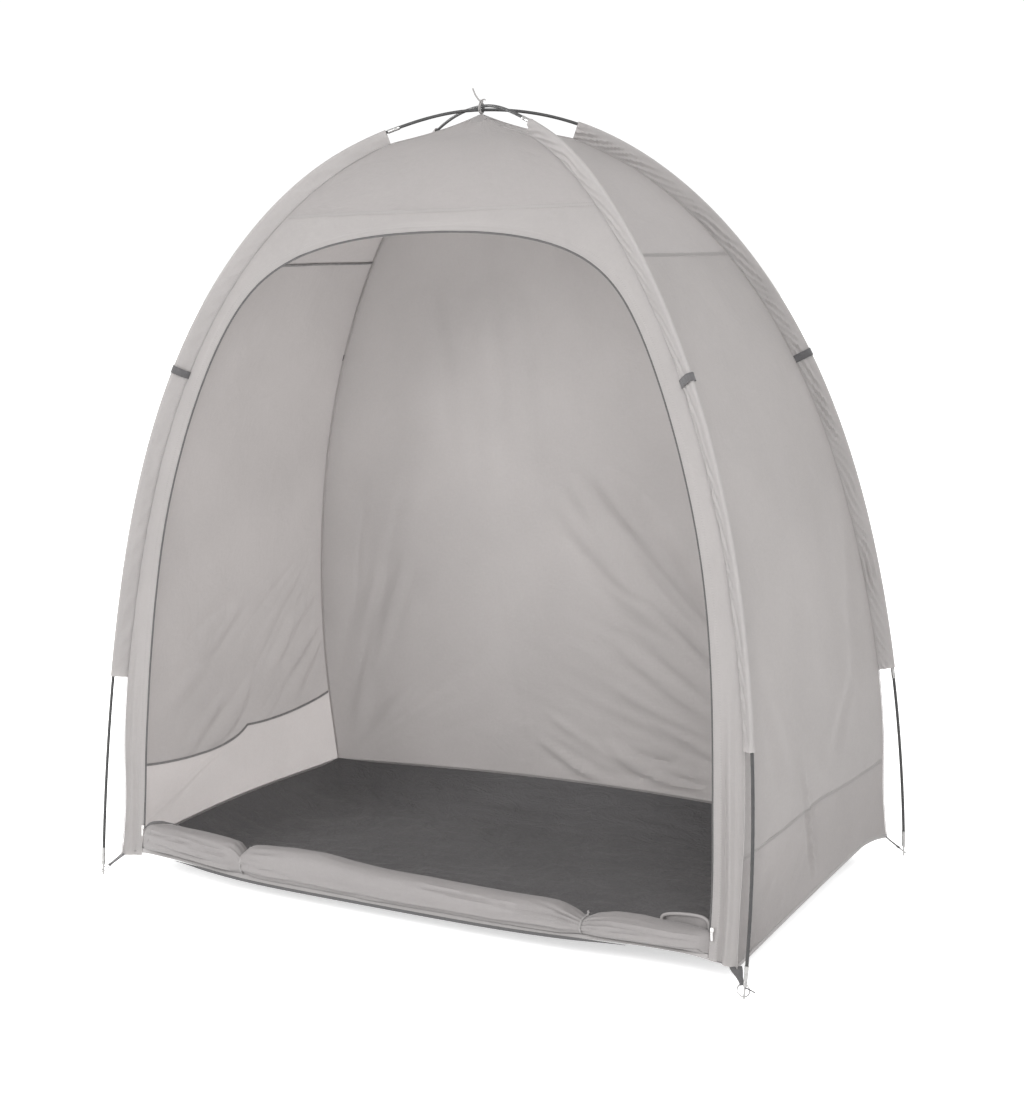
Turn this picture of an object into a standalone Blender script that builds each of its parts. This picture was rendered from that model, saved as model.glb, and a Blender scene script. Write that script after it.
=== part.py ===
"""Bike storage tent.

Two crossed sectional poles carry a fabric body through four pole sleeves. The
front wall has a D-shaped zipped doorway whose door lies rolled down along the
sill. A dark groundsheet is sewn to the wall hems and is tied to a ring and pin
at each pole foot.

Frame: metres, +Z up, origin on the ground at the centre of the four pole feet,
+X to the right along the doorway, +Y from the doorway to the back wall.
"""

import math

import bmesh
import bpy
from mathutils import Vector

# ------------------------------------------------------------ driving sizes
FOOT_W = 1.90  # between the pole feet along the doorway
FOOT_D = 1.10  # between the pole feet, doorway to back
POLE_H = 2.02  # centre line of the lower pole at the crossing
POLE_R = 0.0040  # 8 mm rod
CROSS_GAP = 0.0008  # air between the two poles at the crossing
TIP_TOP = 0.0745  # the metal foot tip reaches this high
SLEEVE_LOW = 0.544  # height of the sleeve's lower mouth on the pole
SLEEVE_TOP = 1.978  # height of its upper mouth
BAND_Z = 1.374  # dark webbing band round each sleeve
CLOTH = 0.0030  # thickness of a wall solid
SHEET = 0.0030  # thickness of the groundsheet solid
GAP = 0.00025  # half of the joint left between two sewn pieces
FRONT_SAG = {-1: 0.008, 1: 0.014}  # the crown of each front pole runs this much lower at its sleeve's mouth
CORNER_IN = 0.038  # pole centre to the wall corner seam
CORNER_IN_FOOT = 0.012  # extra inset of the wall corner at the ground
HEM_CORNER = 0.049  # height of the wall corners over the ground
HEM_RISE = {"left": 0.024, "right": 0.036, "back": 0.045}
SKIRT_TOP = 0.300  # seam between skirt and side wall
SKIRT_SAG = 0.056  # the left skirt's seam hangs this much at mid-span
SIDE_SEAM = 1.640  # upper seam of the side walls
FRONT_SEAM = 1.764  # upper seam of the front and back walls
RULED_TOP = 1.942  # wall height at the sleeve's upper mouth
PEAK = 2.0095  # top of the fabric under the pole crossing
DOOR_TOP = 1.714
DOOR_IN = 0.090  # pole centre to the zip along the jambs
DOOR_SPLIT = 1.500  # jamb pieces end and the head piece begins here
SILL_H = 0.010  # fabric strip under the rolled door
ROLL_TOP = 0.149  # top of the roll over its left half
ROLL_DROP = 0.018  # the right half of the roll lies this much lower
ROLL_HALF = 0.838  # half length of the rolled door
TIES = ((-0.493, 0.042), (0.535, 0.030))  # tie position, depth of the pinch
ZIP_R = 0.0024
RIM_GAP = 0.0024  # between a wall's hem and the groundsheet's edge
RING_R = 0.0145
RING_WIRE = 0.0016


# ------------------------------------------------------------ pole geometry
def spread(t):
    """Half spread of the pole at the relative height t, 1 at the foot."""
    t = min(max(t, 0.0), 1.0)
    k = t * (1.0 - t)
    arch = (1.0 - t**2.0) ** (1.0 / 2.13)
    return arch * (1.0 + 0.25 * k - 0.155 * k * (1.0 - 2.0 * t) - 0.25 * k * k)


def crown_sag(theta, sx, sy):
    """How far a front pole's crown lies under the arc of the back ones."""
    q = ((math.pi / 2 - theta) / (math.pi / 2 - TH_TOP)) ** 2
    return 0.0 if sy > 0 else FRONT_SAG[sx] * q * math.exp(1.0 - q)


def pole_point(theta, sx, sy, height=POLE_H):
    t = math.sin(theta)
    s = spread(t)
    d = s * (1.0 - 0.664 * t * (1.0 - t))
    z = t * height - crown_sag(theta, sx, sy)
    return Vector((sx * s * FOOT_W / 2, sy * d * FOOT_D / 2, z))


def pole_tangent(theta, sx, sy, height=POLE_H):
    low = max(theta - 0.004, 0.0005)
    high = min(theta + 0.004, math.pi / 2 - 0.0005)
    a = pole_point(low, sx, sy, height)
    b = pole_point(high, sx, sy, height)
    return (b - a).normalized()


def inward(theta, sx, sy, height=POLE_H):
    """Unit vector from the pole to the wall corner, square to the pole."""
    t = math.sin(theta)
    point = pole_point(theta, sx, sy, height)
    along = pole_tangent(theta, sx, sy, height)
    to_axis = Vector((0, 0, 0.3 * height)) - point
    to_axis -= along * to_axis.dot(along)
    to_axis.normalize()
    to_axis += Vector((0, -0.4 * sy * (1.0 - t), 0))
    to_axis -= along * to_axis.dot(along)
    return to_axis.normalized()


def theta_at(z):
    return math.asin(z / POLE_H)


TH_TIP, TH_LOW, TH_TOP = (theta_at(z) for z in (TIP_TOP, SLEEVE_LOW, SLEEVE_TOP))
LEG = [TH_TIP + (TH_LOW - TH_TIP) * i / 4 for i in range(4)]
RUN = [TH_LOW + (TH_TOP - TH_LOW) * i / 16 for i in range(17)]
CROWN = [TH_TOP + (math.pi / 2 - TH_TOP) * i / 4 for i in range(1, 5)]


# ------------------------------------------------------------ wall geometry
def corner_point(theta):
    t = math.sin(theta)
    extra = CORNER_IN_FOOT * max(0.0, 1.0 - t / 0.27)
    return pole_point(theta, 1, 1) + inward(theta, 1, 1) * (CORNER_IN + extra)


def corner_theta(z):
    low, high = 0.0, math.pi / 2 - 0.02
    for _ in range(40):
        mid = 0.5 * (low + high)
        if corner_point(mid).z < z:
            low = mid
        else:
            high = mid
    return low


CORNERS = {}


def corner_xy(z):
    """Half width and half depth of the walls at the height z."""
    key = round(z, 6)
    if key not in CORNERS:
        p = corner_point(corner_theta(z))
        CORNERS[key] = (p.x, p.y)
    return CORNERS[key]


def slopes(z):
    a, b = corner_xy(z - 0.004), corner_xy(z + 0.004)
    return (b[0] - a[0]) / 0.008, (b[1] - a[1]) / 0.008


def wall_point(side, s, z, w):
    """Point of a wall: s runs -1..1 between its corners, w is 0 outside, 1 inside."""
    half = corner_xy(z)
    slope = slopes(z)
    own, other = (1, 0) if side in ("front", "back") else (0, 1)
    run = math.sqrt(1.0 + slope[own] ** 2)
    depth = half[own] - w * CLOTH / run
    height = z + w * CLOTH * slope[own] / run
    if w:
        across = corner_xy(height)[other]
        across -= w * CLOTH * math.sqrt(1.0 + slopes(height)[other] ** 2)
    else:
        across = half[other]
    across = s * (across - GAP)
    if side == "front":
        return Vector((across, -depth, height))
    if side == "back":
        return Vector((across, depth, height))
    if side == "left":
        return Vector((-depth, across, height))
    return Vector((depth, across, height))


def hem(side, s):
    """Height of a wall's lower edge: it rises between the corners, and the rolled door weighs the front one down."""
    if side == "front":
        x = abs(s) * 0.917
        reach = 0.12 if x > 0.78 else 0.22 if s < 0 else 0.33
        lift = 0.0205 * math.exp(-(((x - 0.78) / reach) ** 2)) * (1.0 - s**16)
        return 0.045 + 0.004 * abs(s) ** 8 + lift
    return HEM_CORNER + HEM_RISE[side] * (1.0 - s * s)


def skirt_seam(side, s):
    if side == "left":
        return SKIRT_TOP - SKIRT_SAG * max(0.0, 1.0 - s * s) ** 0.7
    return SKIRT_TOP


# ------------------------------------------------------------ door outline
def door_half(z):
    t = min(z / DOOR_TOP, 1.0)
    x = spread(z / POLE_H) * FOOT_W / 2 - DOOR_IN
    # the doorway's sides stand more upright than the poles toward the ground
    f = min(max((z - 0.35) / 0.70, 0.0), 1.0)
    x -= 0.018 * (1.0 - f * f * (3.0 - 2.0 * f))
    return x * (1.0 - t**30) ** (1.0 / 2.2)


JAMB = [0.062, 0.1745, 0.30] + [0.30 + 0.15 * i for i in range(1, 9)]
ARCH_N = 18


def arch(u):
    """Point (x, z) of the doorway's head, u runs -1..1."""
    first = math.asin((DOOR_SPLIT / DOOR_TOP) ** 15)
    a = abs(u)
    phi = first + (math.pi / 2 - first) * (1.0 - a) ** 1.15
    z = DOOR_TOP * math.sin(phi) ** (1.0 / 15.0)
    if a < 1e-9:
        return 0.0, DOOR_TOP
    if a > 1.0 - 1e-9:
        z = DOOR_SPLIT
    return math.copysign(door_half(z), u), z


# ------------------------------------------------------------ scene helpers
for old in list(bpy.data.objects):
    bpy.data.objects.remove(old, do_unlink=True)

tent = bpy.data.collections.new("bike_storage_tent")
bpy.context.scene.collection.children.link(tent)
cutters = bpy.data.collections.new("cutters")
bpy.context.scene.collection.children.link(cutters)
carrier = bpy.data.objects.new("tent_frame", None)
tent.objects.link(carrier)


def material(name, colour, roughness, metallic=0.0):
    found = bpy.data.materials.get(name)
    if found:
        return found
    made = bpy.data.materials.new(name)
    made.use_nodes = True
    shader = made.node_tree.nodes["Principled BSDF"]
    shader.inputs["Base Color"].default_value = (*colour, 1.0)
    shader.inputs["Roughness"].default_value = roughness
    shader.inputs["Metallic"].default_value = metallic
    return made


OUTER = ("fabric_outer", (0.50, 0.485, 0.475), 0.75)
SLEEVE = ("fabric_sleeve", (0.47, 0.455, 0.445), 0.78)
ROLL = ("fabric_door", (0.48, 0.465, 0.455), 0.75)
FLOOR = ("groundsheet_weave", (0.075, 0.073, 0.075), 0.6)
WEB = ("webbing_dark", (0.06, 0.058, 0.060), 0.85)
ZIP = ("zip_tape", (0.11, 0.107, 0.106), 0.7)
ROD = ("pole_glassfibre", (0.085, 0.085, 0.087), 0.45)
STEEL = ("plated_steel", (0.62, 0.62, 0.61), 0.3, 1.0)
PULL = ("zip_pull", (0.80, 0.79, 0.77), 0.4)
CORD = ("tie_cord", (0.36, 0.35, 0.34), 0.85)


def finish_object(obj, look):
    tent.objects.link(obj)
    obj.parent = carrier
    made = material(obj.name + "_" + look[0], *look[1:])
    obj.data.materials.clear()
    obj.data.materials.append(made)
    return obj


def object_from(bm, name, look, smooth=30.0):
    bmesh.ops.recalc_face_normals(bm, faces=bm.faces)
    mesh = bpy.data.meshes.new(name)
    bm.to_mesh(mesh)
    bm.free()
    mesh.shade_smooth()
    mesh.set_sharp_from_angle(angle=math.radians(smooth))
    return finish_object(bpy.data.objects.new(name, mesh), look)


def sheet_solid(name, nu, nv, place, look, wrap=False, closed_ends=False):
    """A grid given a second side: place(u, v, w) puts its points, w is 0 outside and 1 inside.

    With wrap the grid's two long edges meet, which makes a tube. With
    closed_ends that tube is one skin whose two mouths are filled.
    """
    bm = bmesh.new()
    param = bm.verts.layers.float_vector.new("param")
    bmesh.ops.create_grid(bm, x_segments=nu, y_segments=nv, size=0.5)
    for vert in bm.verts:
        u = round((vert.co.x + 0.5) * nu) / nu
        v = round((vert.co.y + 0.5) * nv) / nv
        vert[param] = (u, v, 0.0)
        vert.co = Vector(place(u, v, 0.0))
    if wrap:
        bmesh.ops.remove_doubles(bm, verts=bm.verts, dist=1e-6)
    if closed_ends:
        open_edges = [edge for edge in bm.edges if edge.is_boundary]
        bmesh.ops.holes_fill(bm, edges=open_edges, sides=0)
        return object_from(bm, name, look)
    made = bmesh.ops.extrude_face_region(bm, geom=bm.faces[:])
    for item in made["geom"]:
        if isinstance(item, bmesh.types.BMVert):
            u, v, _ = item[param]
            item.co = Vector(place(u, v, 1.0))
    return object_from(bm, name, look)


def panel(name, side, nu, nv, region, look):
    """A wall piece; region(u, v) gives its (s, z) on the wall."""

    def place(u, v, w):
        s, z = region(u, v)
        return wall_point(side, s, z, w)

    return sheet_solid(name, nu, nv, place, look)


def stations(*marks):
    """Heights from (start, end, segments) runs, as a function of v and their count."""
    zs = []
    for start, end, count in marks:
        zs += [start + (end - start) * i / count for i in range(count)]
    zs.append(marks[-1][1])
    return zs


def at(zs, v):
    n = len(zs) - 1
    i = min(int(v * n + 1e-6), n - 1)
    f = v * n - i
    return zs[i] + (zs[i + 1] - zs[i]) * f


def tube(name, points, radius, look, cyclic=False, sides=2):
    data = bpy.data.curves.new(name, "CURVE")
    data.dimensions = "3D"
    data.bevel_depth = radius
    data.bevel_resolution = sides
    data.use_fill_caps = not cyclic
    spline = data.splines.new("POLY")
    spline.points.add(len(points) - 1)
    for spot, point in zip(spline.points, points):
        spot.co = (*point, 1.0)
    spline.use_cyclic_u = cyclic
    return finish_object(bpy.data.objects.new(name, data), look)


def mesh_of(obj):
    """Turns a curve object into a welded mesh object of the same name."""
    bpy.context.view_layer.update()
    graph = bpy.context.evaluated_depsgraph_get()
    mesh = bpy.data.meshes.new_from_object(obj.evaluated_get(graph))
    bm = bmesh.new()
    bm.from_mesh(mesh)
    bmesh.ops.remove_doubles(bm, verts=bm.verts, dist=1e-6)
    bm.to_mesh(mesh)
    bm.free()
    matrix, name, look = obj.matrix_world.copy(), obj.name, list(obj.data.materials)
    bpy.data.objects.remove(obj, do_unlink=True)
    made = bpy.data.objects.new(name, mesh)
    made.matrix_world = matrix
    made.data.materials.clear()
    for item in look:
        made.data.materials.append(item)
    return made


# ------------------------------------------------------------ poles
UPPER_H = POLE_H + 2 * POLE_R + CROSS_GAP
CORNER_NAMES = {
    "front_left": (-1, -1, POLE_H),
    "back_right": (1, 1, POLE_H),
    "front_right": (1, -1, UPPER_H),
    "back_left": (-1, 1, UPPER_H),
}


def pole(name, first, last, height):
    thetas = LEG + RUN + CROWN
    up = [pole_point(th, *first, height) for th in thetas]
    down = [pole_point(th, *last, height) for th in thetas[:-1]]
    return tube(name, up + down[::-1], POLE_R, ROD)


pole("pole_lower", (-1, -1), (1, 1), POLE_H)
pole("pole_upper", (1, -1), (-1, 1), UPPER_H)


def collar(name, corner, span, part, inner, outer, look):
    """A metal ferrule: a short tube threaded on one straight run of the pole."""
    sx, sy, height = CORNER_NAMES[corner]
    a, b = (pole_point(th, sx, sy, height) for th in span)
    along = (b - a).normalized()
    n = along.orthogonal().normalized()
    side = along.cross(n)

    def place(u, v, w):
        spot = a + (b - a) * (part[0] + (part[1] - part[0]) * v)
        r = inner if w else outer
        turn = 2 * math.pi * u
        return spot + (n * math.cos(turn) + side * math.sin(turn)) * r

    return sheet_solid(name, 12, 1, place, look, wrap=True)


for corner in ("front_left", "front_right"):
    collar(
        "ferrule_crown_" + corner,
        corner,
        (TH_TOP, CROWN[0]),
        (0.08, 0.60),
        POLE_R + 0.0005,
        POLE_R + 0.0014,
        STEEL,
    )
collar(
    "ferrule_leg_back_right",
    "back_right",
    (LEG[3], TH_LOW),
    (0.74, 0.985),
    POLE_R + 0.0005,
    POLE_R + 0.0014,
    STEEL,
)


# ------------------------------------------------------------ sleeves, bands
SLEEVE_A, SLEEVE_B, SLEEVE_MID = 0.0210, 0.0082, 0.0120
SLEEVE_T = 0.0012


def ring_place(corner, th_of, a_out, b_out, wall):
    sx, sy, height = CORNER_NAMES[corner]

    def place(u, v, w):
        th = th_of(v)
        point = pole_point(th, sx, sy, height)
        along = pole_tangent(th, sx, sy, height)
        n = inward(th, sx, sy, height)
        b = along.cross(n)
        a = 2 * math.pi * u
        # the sleeve narrows where the pole runs closer to the cloth
        inner = (SLEEVE_MID + a_out) * (1.0 - crown_sag(th, sx, sy) / CORNER_IN)
        outer = SLEEVE_MID - a_out
        mid, half = 0.5 * (inner + outer), 0.5 * (inner - outer)
        return (
            point
            + n * (mid + (half - w * wall) * math.cos(a))
            + b * (b_out - w * wall) * math.sin(a)
        )

    return place


for corner in CORNER_NAMES:
    sheet_solid(
        "sleeve_" + corner,
        14,
        16,
        ring_place(
            corner,
            lambda v: TH_LOW + (TH_TOP - TH_LOW) * v,
            SLEEVE_A,
            SLEEVE_B,
            SLEEVE_T,
        ),
        SLEEVE,
        wrap=True,
    )
    mid = theta_at(BAND_Z)
    sheet_solid(
        "band_" + corner,
        14,
        1,
        ring_place(
            corner,
            lambda v, mid=mid: mid - 0.0065 + 0.013 * v,
            SLEEVE_A + 0.0026,
            SLEEVE_B + 0.0026,
            0.0014,
        ),
        WEB,
        wrap=True,
    )


# ------------------------------------------------------------ walls
MAIN = (SKIRT_TOP, DOOR_SPLIT, 8)
SHOULDER = (DOOR_SPLIT, SIDE_SEAM, 2)
UPPER = (SIDE_SEAM, FRONT_SEAM, 2)
RULED = (FRONT_SEAM, RULED_TOP, 4)
PEAK_STOP = 0.93  # the four caps stop short of the peak, round the tie


def peak_place(side, s, q, w):
    """Points of the shallow pyramid over the ruled walls, q is 0 at its foot."""
    base = wall_point(side, s, RULED_TOP, 0.0)
    shift = wall_point(side, s, RULED_TOP, 1.0) - base
    drop = Vector((0, 0, -1.15 * CLOTH))
    keep = max(0.0, 1.0 - q / 0.2)
    q *= PEAK_STOP
    rise = (PEAK - RULED_TOP) * (0.72 * q + 0.28 * q**3)
    point = Vector((base.x * (1.0 - q), base.y * (1.0 - q), base.z + rise))
    own = 0 if side in ("front", "back") else 1
    # keeps the joint between two caps open as they narrow
    full = abs(base[own]) / max(abs(s), 1e-6) if s else 0.0
    if s:
        point[own] = math.copysign(max(abs(s) * (full * (1.0 - q) - 2.2 * GAP * q), 0.0), s)
    return point + (shift * keep + drop * (1.0 - keep)) * w


def cap(name, side, low):
    runs = [RULED] if low == FRONT_SEAM else [UPPER, RULED]
    zs = stations(*runs)
    zs[0] += GAP
    split = len(zs) - 1
    rows = split + 4

    def place(u, v, w):
        s = 2 * u - 1
        k = v * rows
        if k <= split + 1e-6:
            return wall_point(side, s, at(zs, k / split), w)
        return peak_place(side, s, (k - split) / 4, w)

    return sheet_solid(name, 8, rows, place, OUTER)


cap("front_top_panel", "front", FRONT_SEAM)
cap("back_top_panel", "back", FRONT_SEAM)
cap("left_top_panel", "left", SIDE_SEAM)
cap("right_top_panel", "right", SIDE_SEAM)


def simple_wall(name, side, runs, low=None, high=None, nu=8):
    zs = stations(*runs)

    def region(u, v):
        s = 2 * u - 1
        z = at(zs, v)
        if low and v < 1e-9:
            z = low(s)
        elif low and v < 1.5 / (len(zs) - 1) and low(1.0) != low(0.0):
            f = v * (len(zs) - 1)
            z = z + (low(s) - zs[0]) * max(0.0, 1.0 - f / 2)
        if high and v > 1 - 1e-9:
            z = high(s)
        if v < 1e-9:
            z += GAP
        if v > 1 - 1e-9:
            z -= GAP
        return s, z

    return panel(name, side, nu, len(zs) - 1, region, OUTER)


SKIRT = (HEM_CORNER, SKIRT_TOP, 2)
simple_wall(
    "back_wall",
    "back",
    [SKIRT, MAIN, SHOULDER, UPPER],
    low=lambda s: hem("back", s),
    nu=10,
)
for side in ("left", "right"):
    simple_wall(
        side + "_skirt",
        side,
        [SKIRT],
        low=lambda s, side=side: hem(side, s),
        high=lambda s, side=side: skirt_seam(side, s),
        nu=10,
    )
    simple_wall(
        side + "_wall",
        side,
        [MAIN, SHOULDER],
        low=lambda s, side=side: skirt_seam(side, s),
        nu=10,
    )


def jamb(name, sign):
    zs = [HEM_CORNER] + JAMB[1:]

    def region(u, v):
        z = at(zs, v)
        outer = corner_xy(z)[0]
        inner = door_half(z) / outer
        s = sign * (inner + (1.0 - inner) * u)
        if v < 1e-9:
            z = hem("front", s) + GAP
        if v > 1 - 1e-9:
            z -= GAP
        return s, z

    return panel(name, "front", 3, len(zs) - 1, region, OUTER)


jamb("door_jamb_left", -1)
jamb("door_jamb_right", 1)

SIDE_N = 3


def head_region(u, v):
    """The head spans over the doorway, its lower edge being the doorway's arch."""
    n = ARCH_N + 2 * SIDE_N
    k = u * n
    outer = corner_xy(DOOR_SPLIT)[0]
    edge = door_half(DOOR_SPLIT)
    if k < SIDE_N:
        x, z = -(edge + (outer - edge) * (1 - k / SIDE_N)), DOOR_SPLIT
    elif k > n - SIDE_N:
        x, z = edge + (outer - edge) * (k - n + SIDE_N) / SIDE_N, DOOR_SPLIT
    else:
        x, z = arch((k - SIDE_N) / ARCH_N * 2 - 1)
    if v < 1e-9:
        low = z + (GAP if k < SIDE_N + 1e-6 or k > n - SIDE_N - 1e-6 else 0.0)
        return x / corner_xy(z)[0], low
    zs = stations(SHOULDER, UPPER)
    start = x / corner_xy(z)[0]
    f = at(zs, v)
    f = (f - DOOR_SPLIT) / (FRONT_SEAM - DOOR_SPLIT)
    s = start + ((2 * u - 1) - start) * f
    height = z + (FRONT_SEAM - z) * f
    return s, height - (GAP if v > 1 - 1e-9 else 0.0)


panel("door_head", "front", ARCH_N + 2 * SIDE_N, 4, head_region, OUTER)


def sill_region(u, v):
    z = 0.055
    limit = (door_half(z) - 0.0004) / corner_xy(z)[0]
    s = limit * (2 * u - 1)
    low = hem("front", s) + GAP
    return s, low + (SILL_H - 2 * GAP) * v


panel("door_sill", "front", 24, 1, sill_region, OUTER)


# ------------------------------------------------------------ groundsheet
def rim(side, s):
    return hem(side, s) - SHEET - RIM_GAP


def groundsheet_place(u, v, w):
    half_x, half_y = corner_xy(HEM_CORNER)
    a, b = 2 * u - 1, 2 * v - 1
    # more points near the edges, where the sheet turns up
    a = math.copysign(abs(a) ** 0.8, a)
    b = math.copysign(abs(b) ** 0.8, b)
    x, y = a * half_x, b * half_y
    rise = 0.0
    for edge, distance, s in (
        ("left", half_x + x, b),
        ("right", half_x - x, b),
        ("front", half_y + y, a),
        ("back", half_y - y, a),
    ):
        f = max(0.0, 1.0 - distance / 0.26)
        rise = max(rise, rim(edge, s) * f * f)
    return Vector((x, y, rise + (SHEET if w == 0 else 0.0)))


sheet_solid("groundsheet", 22, 14, groundsheet_place, FLOOR)


# ------------------------------------------------------------ door zip
def door_path():
    points = []
    for z in JAMB:
        points.append((-door_half(z), z))
    for i in range(1, ARCH_N):
        points.append(arch(2 * i / ARCH_N - 1))
    for z in reversed(JAMB):
        points.append((door_half(z), z))
    return points


def on_front(x, z, w):
    return wall_point("front", x / corner_xy(z)[0], z, w)


def zip_points(inset, w):
    flat = door_path()
    spots = [on_front(x, z, w) for x, z in flat]
    made = []
    for i, spot in enumerate(spots):
        before, after = spots[max(i - 1, 0)], spots[min(i + 1, len(spots) - 1)]
        along = (after - before).normalized()
        x, z = flat[i]
        out = (on_front(x, z, 0.0) - on_front(x, z, 1.0)).normalized()
        into = along.cross(out).normalized()
        if into.dot(Vector((0, 0, 0.9)) - spot) < 0:
            into = -into
        made.append(spot + into * inset)
    return made


tube("door_zip", zip_points(ZIP_R + 0.0005, 0.5)[1:-1], ZIP_R, ZIP)


def slider(name, sign, z):
    """A zip slider with its pull hanging in front of the jamb."""
    x = sign * (door_half(z) + 0.002)
    spot = on_front(x, z, 0.0)
    bm = bmesh.new()
    bmesh.ops.create_cube(bm, size=1.0)
    for vert in bm.verts:
        taper = 0.75 if vert.co.z < 0 else 1.0
        vert.co = Vector((vert.co.x * 0.010 * taper, vert.co.y * 0.0034, vert.co.z * 0.032))
    made = object_from(bm, name, PULL)
    lean = -slopes(z)[1]
    made.location = spot + Vector((0, -1.0, lean)).normalized() * 0.0026
    made.rotation_euler.x = -math.atan(lean)
    bevel = made.modifiers.new("soft_edges", "BEVEL")
    bevel.width = 0.0008
    bevel.segments = 1
    return made


slider("zip_slider_left", -1, 0.125)
slider("zip_slider_right", 1, 0.117)


# ------------------------------------------------------------ rolled door
def pinch(x):
    total = 0.0
    for where, depth in TIES:
        width = 0.085 if x < where else 0.042
        total = max(total, depth * math.exp(-(((x - where) / width) ** 2)))
    return total


def roll_top(x):
    f = min(max((x + 0.26) / 0.24, 0.0), 1.0)
    return ROLL_TOP - ROLL_DROP * f * f * (3.0 - 2.0 * f)


def roll_bounds(x):
    s = x / 0.917
    low = hem("front", s) + SILL_H + 0.0006
    low += 0.0032 * max(math.exp(-(((x - where) / 0.03) ** 2)) for where, _ in TIES)
    high = roll_top(x) - pinch(x)
    fade = 1.0 - 0.45 * max(0.0, (abs(x) - ROLL_HALF + 0.035) / 0.035) ** 2
    return low, low + (high - low) * fade


def roll_centre(x):
    low, high = roll_bounds(x)
    return Vector((x, -corner_xy(0.10)[1] + 0.004, 0.5 * (low + high)))


def roll_half(x):
    low, high = roll_bounds(x)
    fade = 1.0 - 0.30 * max(0.0, (abs(x) - ROLL_HALF + 0.035) / 0.035) ** 2
    return (0.040 - 0.28 * pinch(x)) * fade, 0.5 * (high - low)


def roll_stations():
    """Even steps along the roll, closer together at its ties and ends."""
    xs = {round(ROLL_HALF * (i / 13 - 1), 4) for i in range(27)}
    for where, _ in TIES:
        xs = {x for x in xs if not -0.11 < x - where < 0.085}
        near = (-0.10, -0.07, -0.045, -0.024, -0.0045, 0.0045, 0.02, 0.038, 0.062)
        xs |= {round(where + d, 4) for d in near}
    ends = {round(sign * (ROLL_HALF - d), 4) for sign in (-1, 1) for d in (0.012, 0.03)}
    return sorted(xs | ends)


ROLL_XS = roll_stations()


def roll_place(u, v, w):
    x = ROLL_XS[round(v * (len(ROLL_XS) - 1))]
    centre = roll_centre(x)
    half_y, half_z = roll_half(x)
    a = 2 * math.pi * u
    return centre + Vector((0, half_y * math.cos(a), half_z * math.sin(a)))


sheet_solid(
    "door_roll", 14, len(ROLL_XS) - 1, roll_place, ROLL, wrap=True, closed_ends=True
)


def door_tie(name, x):
    """A flat loop of tape round the pinched roll."""

    def place(u, v, w):
        spot = x + 0.007 * (v - 0.5)
        centre = roll_centre(x)
        half_y, half_z = roll_half(x + 0.0045)
        grow = 0.0020 if w == 0 else 0.0008
        a = 2 * math.pi * u
        across, up = (half_y + grow) * math.cos(a), (half_z + grow) * math.sin(a)
        return Vector((spot, centre.y + across, centre.z + up))

    return sheet_solid(name, 14, 1, place, CORD, wrap=True)


# ------------------------------------------------------------ feet
def foot_axis(corner):
    sx, sy, height = CORNER_NAMES[corner]
    top = pole_point(TH_TIP, sx, sy, height)
    low = pole_point(0.0, sx, sy, height)
    return low, (top - low).normalized(), (top - low).length


def foot_tip(corner):
    """Turned metal tip: a pin under a short tube that takes the pole's end."""
    low, along, length = foot_axis(corner)
    profile = [
        (0.0, 0.0),
        (0.0016, 0.0),
        (0.0024, 0.003),
        (0.0024, 0.026),
        (0.0042, 0.030),
        (0.0046, length - 0.0004),
        (0.0, length - 0.0004),
    ]
    bm = bmesh.new()
    verts = [bm.verts.new((r, 0.0, z)) for r, z in reversed(profile)]
    for a, b in zip(verts, verts[1:]):
        bm.edges.new((a, b))
    mesh = bpy.data.meshes.new("foot_tip_" + corner)
    bm.to_mesh(mesh)
    bm.free()
    made = finish_object(bpy.data.objects.new("foot_tip_" + corner, mesh), STEEL)
    screw = made.modifiers.new("turned", "SCREW")
    screw.steps = screw.render_steps = 12
    screw.use_merge_vertices = True
    screw.merge_threshold = 0.0001
    tilt = Vector((0, 0, 1)).rotation_difference(along)
    made.rotation_mode = "QUATERNION"
    made.rotation_quaternion = tilt
    made.location = low + Vector((0, 0, 0.0001))
    return made


def ring_frame(corner):
    """The ring leans steeply round the pin, one side toward the tent."""
    sx, sy, _ = CORNER_NAMES[corner]
    low, along, _ = foot_axis(corner)
    out = Vector((sx * 0.70, sy * 0.71, 0)).normalized()
    side = Vector((0, 0, 1)).cross(out).normalized()
    lean = math.radians(56)
    up = (Vector((0, 0, math.sin(lean))) - out * math.cos(lean)).normalized()
    centre = low + along * 0.0158
    return centre, side, up


def foot_ring(corner):
    centre, side, up = ring_frame(corner)
    points = []
    for i in range(20):
        a = 2 * math.pi * i / 20
        points.append(centre + side * RING_R * math.cos(a) + up * RING_R * math.sin(a))
    return tube("foot_ring_" + corner, points, RING_WIRE, STEEL, cyclic=True)


def corner_strap(corner):
    """Webbing from the groundsheet's corner down to the ring."""
    sx, sy, _ = CORNER_NAMES[corner]
    centre, side, up = ring_frame(corner)
    half = corner_xy(HEM_CORNER)
    top = Vector((sx * (half[0] + 0.0012), sy * (half[1] + 0.0012), HEM_CORNER - 0.004))
    low = centre + up * (RING_R + RING_WIRE + 0.0006)
    run = (top - low).normalized()
    face = side.cross(run).normalized()

    def place(u, v, w):
        spot = low + (top - low) * v
        width = 0.0060 + 0.0030 * v
        return spot + side * width * (2 * u - 1) + face * 0.0016 * (w - 0.5)

    return sheet_solid("corner_strap_" + corner, 2, 3, place, WEB)


for corner in CORNER_NAMES:
    foot_tip(corner)
    foot_ring(corner)
    corner_strap(corner)
for label, (x, _) in zip(("left", "right"), TIES):
    door_tie("door_tie_" + label, x)


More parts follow.
